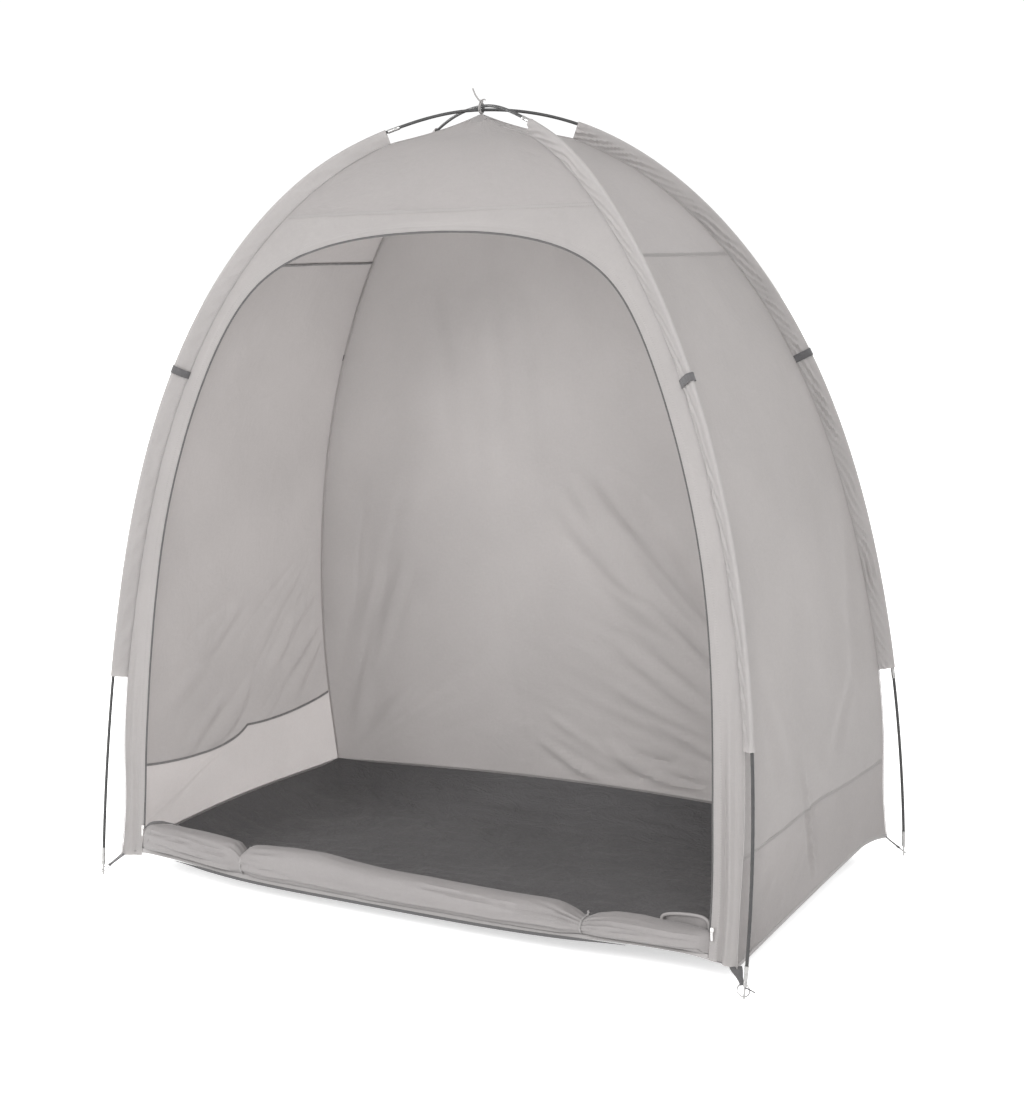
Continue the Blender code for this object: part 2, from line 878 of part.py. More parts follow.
# ------------------------------------------------------------ apex tie
def apex_tie():
    """A cord loop that hangs the fabric's peak from both poles, with its knot and free end on top."""
    loop_mid = POLE_H + POLE_R + CROSS_GAP / 2
    points = []
    for i in range(16):
        a = 2 * math.pi * i / 16
        points.append((0.0, 0.0092 * math.cos(a), loop_mid + 0.0132 * math.sin(a)))
    loop = mesh_of(tube("apex_tie", points, 0.0019, CORD, cyclic=True))
    end_points = [
        (0.0, 0.0, loop_mid + 0.0132),
        (-0.006, -0.003, loop_mid + 0.022),
        (-0.013, -0.007, loop_mid + 0.034),
        (-0.018, -0.010, loop_mid + 0.050),
    ]
    end = mesh_of(tube("apex_tie_end", end_points, 0.0019, CORD))
    bm = bmesh.new()
    bmesh.ops.create_uvsphere(bm, u_segments=12, v_segments=8, radius=0.0054)
    bmesh.ops.scale(bm, vec=(1.15, 1.0, 0.85), verts=bm.verts)
    bmesh.ops.translate(bm, vec=(0.0, 0.0, loop_mid + 0.0172), verts=bm.verts)
    knot_mesh = bpy.data.meshes.new("apex_knot")
    bm.to_mesh(knot_mesh)
    bm.free()
    knot = bpy.data.objects.new("apex_knot", knot_mesh)
    tent.objects.link(loop)
    for helper in (end, knot):
        cutters.objects.link(helper)
        helper.hide_render = True
        helper.display_type = "WIRE"
        join = loop.modifiers.new("join_" + helper.name, "BOOLEAN")
        join.operation = "UNION"
        join.object = helper
    loop.parent = carrier


apex_tie()
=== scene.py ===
"""Bike storage tent: its cloth, seams, zip, rolled door, poles and fixings.

Metres, +Z up, the doorway faces -Y. The formulas for the poles and the wall
corners are the same ones that the solid model is built from.
"""

import math

import bpy
import numpy as np
from mathutils import Matrix, Vector


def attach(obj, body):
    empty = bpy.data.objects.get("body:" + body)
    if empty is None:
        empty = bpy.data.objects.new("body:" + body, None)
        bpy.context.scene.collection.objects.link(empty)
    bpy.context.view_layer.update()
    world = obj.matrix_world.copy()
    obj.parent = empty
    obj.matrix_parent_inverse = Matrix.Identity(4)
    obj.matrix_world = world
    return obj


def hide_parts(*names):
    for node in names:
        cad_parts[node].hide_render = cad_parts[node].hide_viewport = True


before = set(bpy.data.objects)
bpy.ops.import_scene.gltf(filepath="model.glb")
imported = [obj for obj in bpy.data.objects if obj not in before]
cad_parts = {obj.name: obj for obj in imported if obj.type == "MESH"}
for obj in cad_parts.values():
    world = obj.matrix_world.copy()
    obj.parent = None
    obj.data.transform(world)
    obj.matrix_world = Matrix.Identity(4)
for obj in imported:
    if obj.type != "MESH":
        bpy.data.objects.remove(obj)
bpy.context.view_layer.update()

# ------------------------------------------------------------ driving sizes
FOOT_W, FOOT_D, POLE_H, POLE_R = 1.90, 1.10, 2.02, 0.0040
CROSS_GAP = 0.0008
UPPER_H = POLE_H + 2 * POLE_R + CROSS_GAP
TIP_TOP, SLEEVE_LOW, SLEEVE_TOP, BAND_Z = 0.0745, 0.544, 1.978, 1.374
CORNER_IN, CORNER_IN_FOOT, HEM_CORNER = 0.038, 0.012, 0.049
HEM_RISE = {"left": 0.024, "back": 0.045}
BACK_TIP = 0.0102  # the hems meet this much higher at the back corners
SKIRT_TOP, SKIRT_SAG = 0.300, 0.056
SIDE_SEAM, FRONT_SEAM, RULED_TOP, PEAK = 1.640, 1.764, 1.942, 2.0095
FRONT_SAG = {-1: 0.008, 1: 0.014}  # the crown of each front pole runs this much lower
DOOR_TOP, DOOR_IN, SILL_H = 1.714, 0.090, 0.007
ROLL_HALF = 0.8465
TIES = (-0.491, 0.522)
ZIP_R = 0.0024
RING_R, RING_WIRE = 0.0145, 0.0016
CLOTH_T = 0.00045  # thickness of the cloth's own mesh

CORNERS = {
    "front_left": (-1, -1, POLE_H),
    "back_right": (1, 1, POLE_H),
    "front_right": (1, -1, UPPER_H),
    "back_left": (-1, 1, UPPER_H),
}


def smooth(a, b, x):
    f = np.clip((np.asarray(x, float) - a) / (b - a), 0.0, 1.0)
    return f * f * (3.0 - 2.0 * f)


def unit(v):
    return v / np.maximum(np.linalg.norm(v, axis=-1, keepdims=True), 1e-12)


def dot(a, b):
    return (a * b).sum(-1, keepdims=True)


# ------------------------------------------------------------ smooth noise
LATTICE = np.random.RandomState(41).rand(256, 256) * 2.0 - 1.0


def noise(x, y, seed=0):
    """Smooth noise in -1..1 with one swing a unit."""
    x, y = np.broadcast_arrays(np.asarray(x, float), np.asarray(y, float))
    xi, yi = np.floor(x).astype(int), np.floor(y).astype(int)
    fx, fy = x - xi, y - yi
    fx = fx**3 * (fx * (fx * 6 - 15) + 10)
    fy = fy**3 * (fy * (fy * 6 - 15) + 10)
    i0, j0 = (xi + 37 * seed) & 255, (yi + 91 * seed) & 255
    i1, j1 = (i0 + 1) & 255, (j0 + 1) & 255
    low = LATTICE[i0, j0] * (1 - fx) + LATTICE[i1, j0] * fx
    top = LATTICE[i0, j1] * (1 - fx) + LATTICE[i1, j1] * fx
    return low * (1 - fy) + top * fy


def fractal(x, y, octaves=3, seed=0, gain=0.5):
    total, size = 0.0, 1.0
    for k in range(octaves):
        total = total + size * noise(np.asarray(x) * 2**k, np.asarray(y) * 2**k, seed + 5 * k)
        size *= gain
    return total


def creased(x, y, seed=0):
    """Ridged noise, 0..1, with soft valleys and sharp crests."""
    return (1.0 - np.abs(noise(x, y, seed))) ** 2.2


# ------------------------------------------------------------ pole and corner
def spread(t):
    t = np.clip(t, 0.0, 1.0)
    k = t * (1.0 - t)
    return (1.0 - t**2) ** (1.0 / 2.13) * (
        1.0 + 0.25 * k - 0.155 * k * (1.0 - 2.0 * t) - 0.25 * k * k
    )


def crown_sag(th, sx, sy):
    q = ((math.pi / 2 - th) / (math.pi / 2 - math.asin(SLEEVE_TOP / POLE_H))) ** 2
    return 0.0 * q if sy > 0 else FRONT_SAG[sx] * q * np.exp(1.0 - q)


def pole_point(th, sx, sy, height=POLE_H):
    t = np.sin(th)
    s = spread(t)
    d = s * (1.0 - 0.664 * t * (1.0 - t))
    return np.stack([sx * s * FOOT_W / 2, sy * d * FOOT_D / 2, t * height - crown_sag(th, sx, sy)], -1)


def pole_tangent(th, sx, sy, height=POLE_H):
    low = np.maximum(th - 0.004, 0.0005)
    high = np.minimum(th + 0.004, math.pi / 2 - 0.0005)
    return unit(pole_point(high, sx, sy, height) - pole_point(low, sx, sy, height))


def inward(th, sx, sy, height=POLE_H):
    t = np.sin(th)[..., None]
    along = pole_tangent(th, sx, sy, height)
    aim = np.array((0.0, 0.0, 0.3 * height)) - pole_point(th, sx, sy, height)
    aim = unit(aim - along * dot(aim, along))
    aim = aim + np.array((0.0, -0.4 * sy, 0.0)) * (1.0 - t)
    return unit(aim - along * dot(aim, along))


def theta_at(z):
    return math.asin(z / POLE_H)


TH_TIP, TH_LOW, TH_TOP = (theta_at(z) for z in (TIP_TOP, SLEEVE_LOW, SLEEVE_TOP))
_th = np.linspace(0.0, math.pi / 2 - 0.02, 6000)
_extra = CORNER_IN_FOOT * np.maximum(0.0, 1.0 - np.sin(_th) / 0.27)
_zc = np.sin(_th) * POLE_H
_extra = _extra + 0.0090 * np.exp(-(((_zc - 0.20) / 0.13) ** 2)) * smooth(0.045, 0.10, _zc)
_corner = pole_point(_th, 1, 1) + inward(_th, 1, 1) * (CORNER_IN + _extra)[:, None]


def corner_x(z):
    return np.interp(z, _corner[:, 2], _corner[:, 0])


def corner_y(z):
    return np.interp(z, _corner[:, 2], _corner[:, 1])


def slope_x(z):
    return (corner_x(z + 0.006) - corner_x(z - 0.006)) / 0.012


def slope_y(z):
    return (corner_y(z + 0.006) - corner_y(z - 0.006)) / 0.012


def hem(side, s):
    s = np.asarray(s, float)
    if side == "front":
        x = np.abs(s) * 0.917
        reach = np.where(x > 0.78, np.where(s < 0, 0.20, 0.12), np.where(s < 0, 0.22, 0.33))
        lift = 0.0205 * np.exp(-(((x - 0.78) / reach) ** 2)) * (1.0 - np.abs(s) ** np.where(s < 0, 40, 16))
        return 0.045 + 0.004 * np.abs(s) ** 8 + lift
    if side == "right":
        rise = 0.0221 * (s + 1.0) + 0.0045 * (1.0 - s * s)
        return HEM_CORNER + rise - 0.034 * np.clip((s - 0.62) / 0.38, 0.0, 1.0) ** 1.6
    back = np.abs(s) if side == "back" else np.maximum(s, 0.0)
    return HEM_CORNER + HEM_RISE[side] * (1.0 - s * s) + BACK_TIP * back**5


def skirt_seam(side, s):
    s = np.asarray(s, float)
    if side == "left":
        sag = SKIRT_SAG * np.maximum(0.0, 1.0 - s * s) ** 0.7
        # sewn on full on one side of a point, it comes up to a peak there
        beyond = 0.040 * np.exp(-np.maximum(s - 0.12, 0.0) / 0.60) * (1.0 - np.abs(s) ** 8)
        peak = np.where(s > 0.12, beyond, 0.040 * np.exp(-np.maximum(0.12 - s, 0.0) / 0.14))
        return SKIRT_TOP - sag + peak
    return SKIRT_TOP - 0.006 - 0.0035 * s - 0.004 * s * s + 0.011 * np.exp(-(((s + 0.02) / 0.30) ** 2))


def wall(side, across, z, depth=0.0):
    """A point on a wall by its place across and its height, depth metres inside the outer face."""
    z = np.asarray(z, float)
    own, slope = (
        (corner_y(z), slope_y(z)) if side in ("front", "back") else (corner_x(z), slope_x(z))
    )
    run = np.sqrt(1.0 + slope**2)
    out = own - depth / run
    up = z + depth * slope / run
    across, out, up = np.broadcast_arrays(across, out, up)
    if side == "front":
        return np.stack([across, -out, up], -1)
    if side == "back":
        return np.stack([across, out, up], -1)
    if side == "left":
        return np.stack([-out, across, up], -1)
    return np.stack([out, across, up], -1)


def half_across(side, z):
    edge = corner_x(z) if side in ("front", "back") else corner_y(z)
    return edge - 0.0007


def door_half(z):
    z = np.asarray(z, float)
    t = np.minimum(z / DOOR_TOP, 1.0)
    x = spread(z / POLE_H) * FOOT_W / 2 - DOOR_IN - 0.018 * (1.0 - smooth(0.35, 1.05, z))
    return x * np.maximum(1.0 - t**30, 0.0) ** (1.0 / 2.2)


# ------------------------------------------------------------ meshes
def mesh_from(name, verts, faces, uvs, look, sharp=42.0):
    """faces is an (n, 3 or 4) array, uvs one pair for each face corner, in metres."""
    verts = np.ascontiguousarray(verts, np.float32)
    faces = np.ascontiguousarray(faces, np.int32)
    sides = faces.shape[1]
    mesh = bpy.data.meshes.new(name)
    mesh.vertices.add(len(verts))
    mesh.vertices.foreach_set("co", verts.ravel())
    mesh.loops.add(faces.size)
    mesh.loops.foreach_set("vertex_index", faces.ravel())
    mesh.polygons.add(len(faces))
    mesh.polygons.foreach_set("loop_start", np.arange(0, faces.size, sides, dtype=np.int32))
    if uvs is not None:
        layer = mesh.uv_layers.new(name="cloth")
        layer.data.foreach_set("uv", np.ascontiguousarray(uvs, np.float32).ravel())
    mesh.update(calc_edges=True)
    mesh.validate()
    mesh.shade_smooth()
    mesh.set_sharp_from_angle(angle=math.radians(sharp))
    mesh.materials.append(look)
    obj = bpy.data.objects.new(name, mesh)
    bpy.context.scene.collection.objects.link(obj)
    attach(obj, "root")
    return obj


def grid_normals(p, wrap=False):
    if wrap:
        du = np.roll(p, -1, 1) - np.roll(p, 1, 1)
    else:
        du = np.gradient(p, axis=1)
    dv = np.gradient(p, axis=0)
    return unit(np.cross(du, dv))


def lengths(p, axis):
    """Running length along an axis of a grid of points, the mean of its lines."""
    step = np.linalg.norm(np.diff(p, axis=axis), axis=-1).mean(1 - axis)
    return np.concatenate([[0.0], np.cumsum(step)])


def cloth(name, p, look, thick=CLOTH_T, away=None, wrap=False, uv=None, sharp=42.0, turn=False):
    """A grid of points given a thickness: p is the outer face, rows by columns.

    The face looks away from the point `away`. With wrap the columns close
    into a tube. The map runs along the threads, in metres.
    """
    rows, cols = p.shape[:2]
    n = grid_normals(p, wrap)
    if away is None:
        away = np.array((0.0, 0.0, 0.75))
    if callable(away):
        flip = (n * away(p)).sum() < 0
    else:
        flip = (n * (p - away)).sum() < 0
    if flip:
        n = -n
    inner = p - n * thick
    if uv is None:
        u, v = lengths(p, 1), lengths(p, 0)
        if wrap:
            u = np.append(u, u[-1] + np.linalg.norm(p[:, 0] - p[:, -1], axis=-1).mean())
        uv = np.stack(np.meshgrid(u, v), -1)
        uv = uv - uv.reshape(-1, 2).mean(0)
    if turn:
        uv = uv[..., ::-1]
    c = np.arange(cols if wrap else cols - 1)
    r = np.arange(rows - 1)
    cc, rr = np.meshgrid(c, r)
    cc, rr = cc.ravel(), rr.ravel()
    c1 = (cc + 1) % cols
    quad = np.stack([rr * cols + cc, rr * cols + c1, (rr + 1) * cols + c1, (rr + 1) * cols + cc], 1)
    quv = np.stack([uv[rr, cc], uv[rr, cc + 1], uv[rr + 1, cc + 1], uv[rr + 1, cc]], 1)
    if flip:
        quad, quv = quad[:, ::-1], quv[:, ::-1]
    back, buv = quad[:, ::-1] + rows * cols, quv[:, ::-1]
    edges, euv = [], []

    def rim(a, b, ua, ub):
        one = np.stack([b, a, a + rows * cols, b + rows * cols], 1)
        two = np.stack([ub, ua, ua, ub], 1)
        if flip:
            one, two = one[:, ::-1], two[:, ::-1]
        edges.append(one)
        euv.append(two)

    k = np.arange(cols if wrap else cols - 1)
    k1 = (k + 1) % cols
    rim(k, k1, uv[0, k], uv[0, k + 1])
    top = (rows - 1) * cols
    rim(top + k1, top + k, uv[rows - 1, k + 1], uv[rows - 1, k])
    if not wrap:
        j = np.arange(rows - 1)
        rim((j + 1) * cols, j * cols, uv[j + 1, 0], uv[j, 0])
        rim(j * cols + cols - 1, (j + 1) * cols + cols - 1, uv[j, cols - 1], uv[j + 1, cols - 1])
    verts = np.concatenate([p.reshape(-1, 3), inner.reshape(-1, 3)])
    return mesh_from(
        name,
        verts,
        np.concatenate([quad, back, *edges]),
        np.concatenate([quv, buv, *euv]),
        look,
        sharp,
    )


def resample(path, step, closed=False):
    path = np.asarray(path, float)
    if closed:
        path = np.concatenate([path, path[:1]])
    run = np.concatenate([[0.0], np.cumsum(np.linalg.norm(np.diff(path, axis=0), axis=1))])
    count = max(int(round(run[-1] / step)), 2)
    at = np.linspace(0.0, run[-1], count + 1)
    return np.stack([np.interp(at, run, path[:, k]) for k in range(path.shape[1])], 1), at


def tangents(path):
    return unit(np.gradient(path, axis=0))


def frames(path, first=None):
    """Tangent and two side vectors along a path, carried along without twist."""
    t = tangents(path)
    if first is None:
        first = np.array((0.0, 0.0, 1.0)) if abs(t[0][2]) < 0.9 else np.array((1.0, 0.0, 0.0))
    side = np.empty_like(path)
    a = first - t[0] * first.dot(t[0])
    side[0] = a / np.linalg.norm(a)
    for i in range(1, len(path)):
        a = side[i - 1] - t[i] * side[i - 1].dot(t[i])
        side[i] = a / max(np.linalg.norm(a), 1e-9)
    return t, side, np.cross(t, side)


def tube_parts(path, radius, sides=12, closed=False, flat=1.0, first=None):
    """(verts, quads, uvs) of a tube, its ends closed by a rounded nose."""
    t, a, b = frames(path, first)
    radius = np.broadcast_to(np.asarray(radius, float), (len(path),)).copy()
    if not closed:
        nose = float(radius[0]), float(radius[-1])
        head = [path[0] - t[0] * nose[0] * k for k in (0.55, 0.42, 0.22)]
        tail = [path[-1] + t[-1] * nose[1] * k for k in (0.22, 0.42, 0.55)]
        path = np.concatenate([head, path, tail])
        radius = np.concatenate(
            [
                nose[0] * np.array((0.02, 0.62, 0.90)),
                radius,
                nose[1] * np.array((0.90, 0.62, 0.02)),
            ]
        )
        a = np.concatenate([[a[0]] * 3, a, [a[-1]] * 3])
        b = np.concatenate([[b[0]] * 3, b, [b[-1]] * 3])
    rows = len(path)
    ang = np.linspace(0, 2 * math.pi, sides, endpoint=False)
    ring = (
        a[:, None, :] * np.cos(ang)[None, :, None]
        + b[:, None, :] * np.sin(ang)[None, :, None] * flat
    )
    p = path[:, None, :] + ring * radius[:, None, None]
    r = np.arange(rows if closed else rows - 1)
    c = np.arange(sides)
    cc, rr = np.meshgrid(c, r)
    cc, rr = cc.ravel(), rr.ravel()
    r1, c1 = (rr + 1) % rows, (cc + 1) % sides
    quads = np.stack([rr * sides + cc, rr * sides + c1, r1 * sides + c1, r1 * sides + cc], 1)
    run = np.concatenate([[0.0], np.cumsum(np.linalg.norm(np.diff(path, axis=0), axis=1))])
    run = np.append(run, run[-1] + np.linalg.norm(path[0] - path[-1]))
    girth = 2 * math.pi * float(radius.max())
    uu = np.stack([cc, cc + 1, cc + 1, cc], 1) * girth / sides
    vv = run[np.stack([rr, rr, rr + 1, rr + 1], 1)]
    uvs = np.stack([uu, vv], -1)
    verts = p.reshape(-1, 3)
    if not closed:
        top, last = (rows - 1) * sides, sides - 1
        caps = [(j + 1, j, last - j, last - 1 - j) for j in range(sides // 2 - 1)]
        caps += [(top + j, top + j + 1, top + last - 1 - j, top + last - j) for j in range(sides // 2 - 1)]
        quads = np.concatenate([quads, np.array(caps)])
        uvs = np.concatenate([uvs, np.zeros((len(caps), 4, 2))])
    return verts, quads, uvs


def join_parts(parts):
    verts, quads, uvs, base = [], [], [], 0
    for v, q, u in parts:
        verts.append(v)
        quads.append(q + base)
        uvs.append(u)
        base += len(v)
    return np.concatenate(verts), np.concatenate(quads), np.concatenate(uvs)


def tube(name, path, radius, look, sides=12, closed=False, flat=1.0, first=None):
    v, q, u = tube_parts(np.asarray(path, float), radius, sides, closed, flat, first)
    return mesh_from(name, v, q, u, look, 60.0)


def band_parts(path, across, width, thick, lift=0.0, cols=3, edge=None):
    """A flat tape along a path: across is the unit vector over its width at each point."""
    t = tangents(path)
    across = unit(across - t * dot(across, t))
    up = np.cross(t, across)
    width = np.broadcast_to(np.asarray(width, float), (len(path),))[:, None, None]
    k = np.linspace(-0.5, 0.5, cols + 1)[None, :, None]
    top = path[:, None] + across[:, None] * k * width + up[:, None] * (lift + thick / 2)
    low = top - up[:, None] * thick
    rows = len(path)
    ring = np.concatenate([top, low[:, ::-1]], 1)
    n = ring.shape[1]
    r, c = np.meshgrid(np.arange(rows - 1), np.arange(n), indexing="ij")
    r, c = r.ravel(), c.ravel()
    c1 = (c + 1) % n
    quads = np.stack([r * n + c, (r + 1) * n + c, (r + 1) * n + c1, r * n + c1], 1)
    run = np.concatenate([[0.0], np.cumsum(np.linalg.norm(np.diff(path, axis=0), axis=1))])
    girth = np.concatenate([[0.0], np.cumsum(np.linalg.norm(np.diff(ring[0], axis=0), axis=1))])
    girth = np.append(girth, girth[-1] + thick)
    uvs = np.stack(
        [
            np.stack([girth[c], run[r]], -1),
            np.stack([girth[c], run[r + 1]], -1),
            np.stack([girth[c + 1], run[r + 1]], -1),
            np.stack([girth[c + 1], run[r]], -1),
        ],
        1,
    )
    half = cols + 1
    caps, cuv = [], []
    for row, turn in ((0, False), (rows - 1, True)):
        for j in range(cols):
            q = [row * n + j, row * n + j + 1, row * n + n - 2 - j, row * n + n - 1 - j]
            w = [(j, 0), (j + 1, 0), (j + 1, 1), (j, 1)]
            if turn:
                q, w = q[::-1], w[::-1]
            caps.append(q)
            cuv.append([(a * 0.003, b * thick) for a, b in w])
    return (
        ring.reshape(-1, 3),
        np.concatenate([quads, np.array(caps)]),
        np.concatenate([uvs, np.array(cuv)]),
    )


def tape(name, path, across, width, thick, look, lift=0.0, cols=3):
    v, q, u = band_parts(np.asarray(path, float), np.asarray(across, float), width, thick, lift, cols)
    return mesh_from(name, v, q, u, look, 40.0)


def stitch_parts(path, out, pitch=0.0062, long=0.0042, thick=0.00042, lift=0.0):
    """Separate thread stitches along a path; out is the way the cloth faces."""
    path, out = np.asarray(path, float), np.asarray(out, float)
    both = np.concatenate([path, np.broadcast_to(out, path.shape)], 1)
    run = np.concatenate([[0.0], np.cumsum(np.linalg.norm(np.diff(path, axis=0), axis=1))])
    count = max(int(run[-1] / pitch), 1)
    at = (np.arange(count) + 0.5) * run[-1] / count
    both = np.stack([np.interp(at, run, both[:, k]) for k in range(6)], 1)
    c, n = both[:, :3], unit(both[:, 3:])
    ahead = np.stack([np.interp(at + 0.002, run, path[:, k]) for k in range(3)], 1)
    behind = np.stack([np.interp(at - 0.002, run, path[:, k]) for k in range(3)], 1)
    t = unit(ahead - behind)
    b = unit(np.cross(t, n))
    c = c + n * lift
    six = np.stack(
        [
            c - t * long / 2 - n * thick * 0.5,
            c + t * long / 2 - n * thick * 0.5,
            c - b * thick,
            c + b * thick,
            c + n * thick,
            c - n * thick,
        ],
        1,
    )
    faces = np.array([(0, 2, 4), (2, 1, 4), (1, 3, 4), (3, 0, 4), (2, 0, 5), (1, 2, 5), (3, 1, 5), (0, 3, 5)])
    faces = (faces[None] + 6 * np.arange(count)[:, None, None]).reshape(-1, 3)
    # the winding above looks outward when (t, n, b) is right handed the other way round
    faces = faces[:, ::-1]
    uvs = np.zeros((len(faces), 3, 2))
    return six.reshape(-1, 3), faces, uvs


def stitches(name, lines, look, slot, **how):
    v, q, u = join_parts([stitch_parts(path, out, **how) for path, out in lines])
    return mesh_from(name, v, q, u, look, 80.0)


# ------------------------------------------------------------ materials
def node(tree, kind, **values):
    made = tree.nodes.new(kind)
    for key, value in values.items():
        if hasattr(made, key):
            setattr(made, key, value)
        else:
            made.inputs[key.replace("_", " ")].default_value = value
    return made


def maths(tree, what, a, b=None):
    made = tree.nodes.new("ShaderNodeMath")
    made.operation = what
    for i, item in enumerate((a, b)):
        if item is None:
            continue
        if isinstance(item, (int, float)):
            made.inputs[i].default_value = item
        else:
            tree.links.new(item, made.inputs[i])
    return made.outputs[0]


def textured(name, source, stretch=(1.0, 1.0, 1.0)):
    """A new material, its tree, its shader and the coordinates that its textures read."""
    made = bpy.data.materials.new(name)
    made.use_nodes = True
    tree = made.node_tree
    shader = tree.nodes["Principled BSDF"]
    if source == "cloth":
        coords = node(tree, "ShaderNodeUVMap", uv_map="cloth").outputs[0]
    else:
        coords = tree.nodes.new("ShaderNodeTexCoord").outputs["Object"]
    return made, tree, shader, coords


def scaled(tree, coords, factors):
    made = tree.nodes.new("ShaderNodeMapping")
    made.inputs["Scale"].default_value = factors
    tree.links.new(coords, made.inputs["Vector"])
    return made.outputs[0]


def noise_of(tree, coords, scale, detail=3.0, rough=0.5, bend=0.0):
    made = tree.nodes.new("ShaderNodeTexNoise")
    made.inputs["Scale"].default_value = scale
    made.inputs["Detail"].default_value = detail
    made.inputs["Roughness"].default_value = rough
    made.inputs["Distortion"].default_value = bend
    tree.links.new(coords, made.inputs["Vector"])
    return made.outputs["Fac"]


def ranged(tree, value, a, b, c, d):
    made = tree.nodes.new("ShaderNodeMapRange")
    for key, number in (("From Min", a), ("From Max", b), ("To Min", c), ("To Max", d)):
        made.inputs[key].default_value = number
    tree.links.new(value, made.inputs["Value"])
    return made.outputs["Result"]


def bump(tree, height, distance, strength=1.0, before=None):
    made = tree.nodes.new("ShaderNodeBump")
    made.inputs["Strength"].default_value = strength
    made.inputs["Distance"].default_value = distance
    tree.links.new(height, made.inputs["Height"])
    if before is not None:
        tree.links.new(before, made.inputs["Normal"])
    return made.outputs["Normal"]


def tinted(tree, colour, factor):
    """The colour multiplied by a grey factor that varies over the surface."""
    grey = tree.nodes.new("ShaderNodeCombineColor")
    for i in range(3):
        tree.links.new(factor, grey.inputs[i])
    mix = tree.nodes.new("ShaderNodeMix")
    mix.data_type = "RGBA"
    mix.blend_type = "MULTIPLY"
    mix.inputs["Factor"].default_value = 1.0
    mix.inputs[6].default_value = (*colour, 1.0)
    tree.links.new(grey.outputs[0], mix.inputs[7])
    return mix.outputs[2]


def fabric(
    name, colour, pitch=0.0007, crinkle=1.0, rough=(0.60, 0.78), sheen=0.10, streak=1.0, mottle=0.035,
    through=0.0, glow=(0.790, 0.764, 0.756),
):
    made, tree, shader, uv = textured(name, "cloth")
    split = tree.nodes.new("ShaderNodeSeparateXYZ")
    tree.links.new(uv, split.inputs[0])
    turn = 2 * math.pi / pitch
    warp = maths(tree, "SINE", maths(tree, "MULTIPLY", split.outputs[0], turn))
    weft = maths(tree, "SINE", maths(tree, "MULTIPLY", split.outputs[1], turn))
    weave = maths(tree, "MULTIPLY", warp, weft)
    slub = noise_of(tree, scaled(tree, uv, (1.0, 0.04, 1.0)), 900.0, 1.0)
    slub2 = noise_of(tree, scaled(tree, uv, (0.04, 1.0, 1.0)), 900.0, 1.0)
    thread = maths(tree, "ADD", maths(tree, "MULTIPLY", weave, 0.35), maths(tree, "ADD", slub, slub2))
    broad = noise_of(tree, scaled(tree, uv, (1.0, 0.8 * streak, 1.0)), 9.0, 5.0, 0.58, 0.9)
    fine = noise_of(tree, scaled(tree, uv, (1.0, 0.55 * streak, 1.0)), 46.0, 4.0, 0.6, 1.4)
    n = bump(tree, thread, 0.00010, 0.55)
    n = bump(tree, fine, 0.0011 * crinkle, 0.55, n)
    n = bump(tree, broad, 0.0060 * crinkle, 0.55, n)
    tree.links.new(n, shader.inputs["Normal"])
    tone = noise_of(tree, uv, 2.6, 4.0, 0.55)
    spot = noise_of(tree, uv, 120.0, 2.0, 0.6)
    # colour: random tone and spots, and a tint from the thread bump, painted shade where the weave sinks and painted
    # highlight where it rises
    factor = maths(
        tree,
        "ADD",
        ranged(tree, tone, 0.3, 0.7, 1.0 - mottle, 1.0 + mottle),
        maths(
            tree,
            "ADD",
            ranged(tree, spot, 0.25, 0.75, -0.018, 0.018),
            maths(tree, "MULTIPLY", ranged(tree, thread, 0.5, 1.5, -0.05, 0.05), 0.6),
        ),
    )
    tree.links.new(tinted(tree, colour, factor), shader.inputs["Base Color"])
    tree.links.new(ranged(tree, fine, 0.3, 0.7, *rough), shader.inputs["Roughness"])
    shader.inputs["Specular IOR Level"].default_value = 0.32
    shader.inputs["Sheen Weight"].default_value = sheen
    shader.inputs["Sheen Roughness"].default_value = 0.45
    if through:
        # thin cloth glows with the light that falls on its far side
        sheer = tree.nodes.new("ShaderNodeBsdfTranslucent")
        tree.links.new(tinted(tree, glow, factor), sheer.inputs["Color"])
        tree.links.new(n, sheer.inputs["Normal"])
        blend = tree.nodes.new("ShaderNodeMixShader")
        blend.inputs["Fac"].default_value = through
        tree.links.new(shader.outputs[0], blend.inputs[1])
        tree.links.new(sheer.outputs[0], blend.inputs[2])
        tree.links.new(blend.outputs[0], tree.nodes["Material Output"].inputs["Surface"])
    return made


def webbing(name, colour, rib=0.0016, rough=0.82):
    """Narrow woven tape with ribs over its width."""
    made, tree, shader, uv = textured(name, "cloth")
    split = tree.nodes.new("ShaderNodeSeparateXYZ")
    tree.links.new(uv, split.inputs[0])
    across = maths(tree, "SINE", maths(tree, "MULTIPLY", split.outputs[1], 2 * math.pi / rib))
    along = maths(tree, "SINE", maths(tree, "MULTIPLY", split.outputs[0], 2 * math.pi / (rib * 0.7)))
    ribs = maths(tree, "ADD", across, maths(tree, "MULTIPLY", along, 0.5))
    fuzz = noise_of(tree, uv, 700.0, 2.0, 0.6)
    n = bump(tree, ribs, 0.00018, 0.8)
    n = bump(tree, fuzz, 0.0003, 0.5, n)
    tree.links.new(n, shader.inputs["Normal"])
    worn = noise_of(tree, uv, 60.0, 3.0, 0.6)
    # random tone over the tape, and a tint from the rib bump: painted shade between the ribs and painted highlight on
    # them
    factor = maths(
        tree, "ADD", ranged(tree, worn, 0.3, 0.75, 0.85, 1.25), ranged(tree, ribs, -1.2, 1.2, -0.12, 0.12)
    )
    tree.links.new(tinted(tree, colour, factor), shader.inputs["Base Color"])
    shader.inputs["Roughness"].default_value = rough
    shader.inputs["Sheen Weight"].default_value = 0.15
    return made


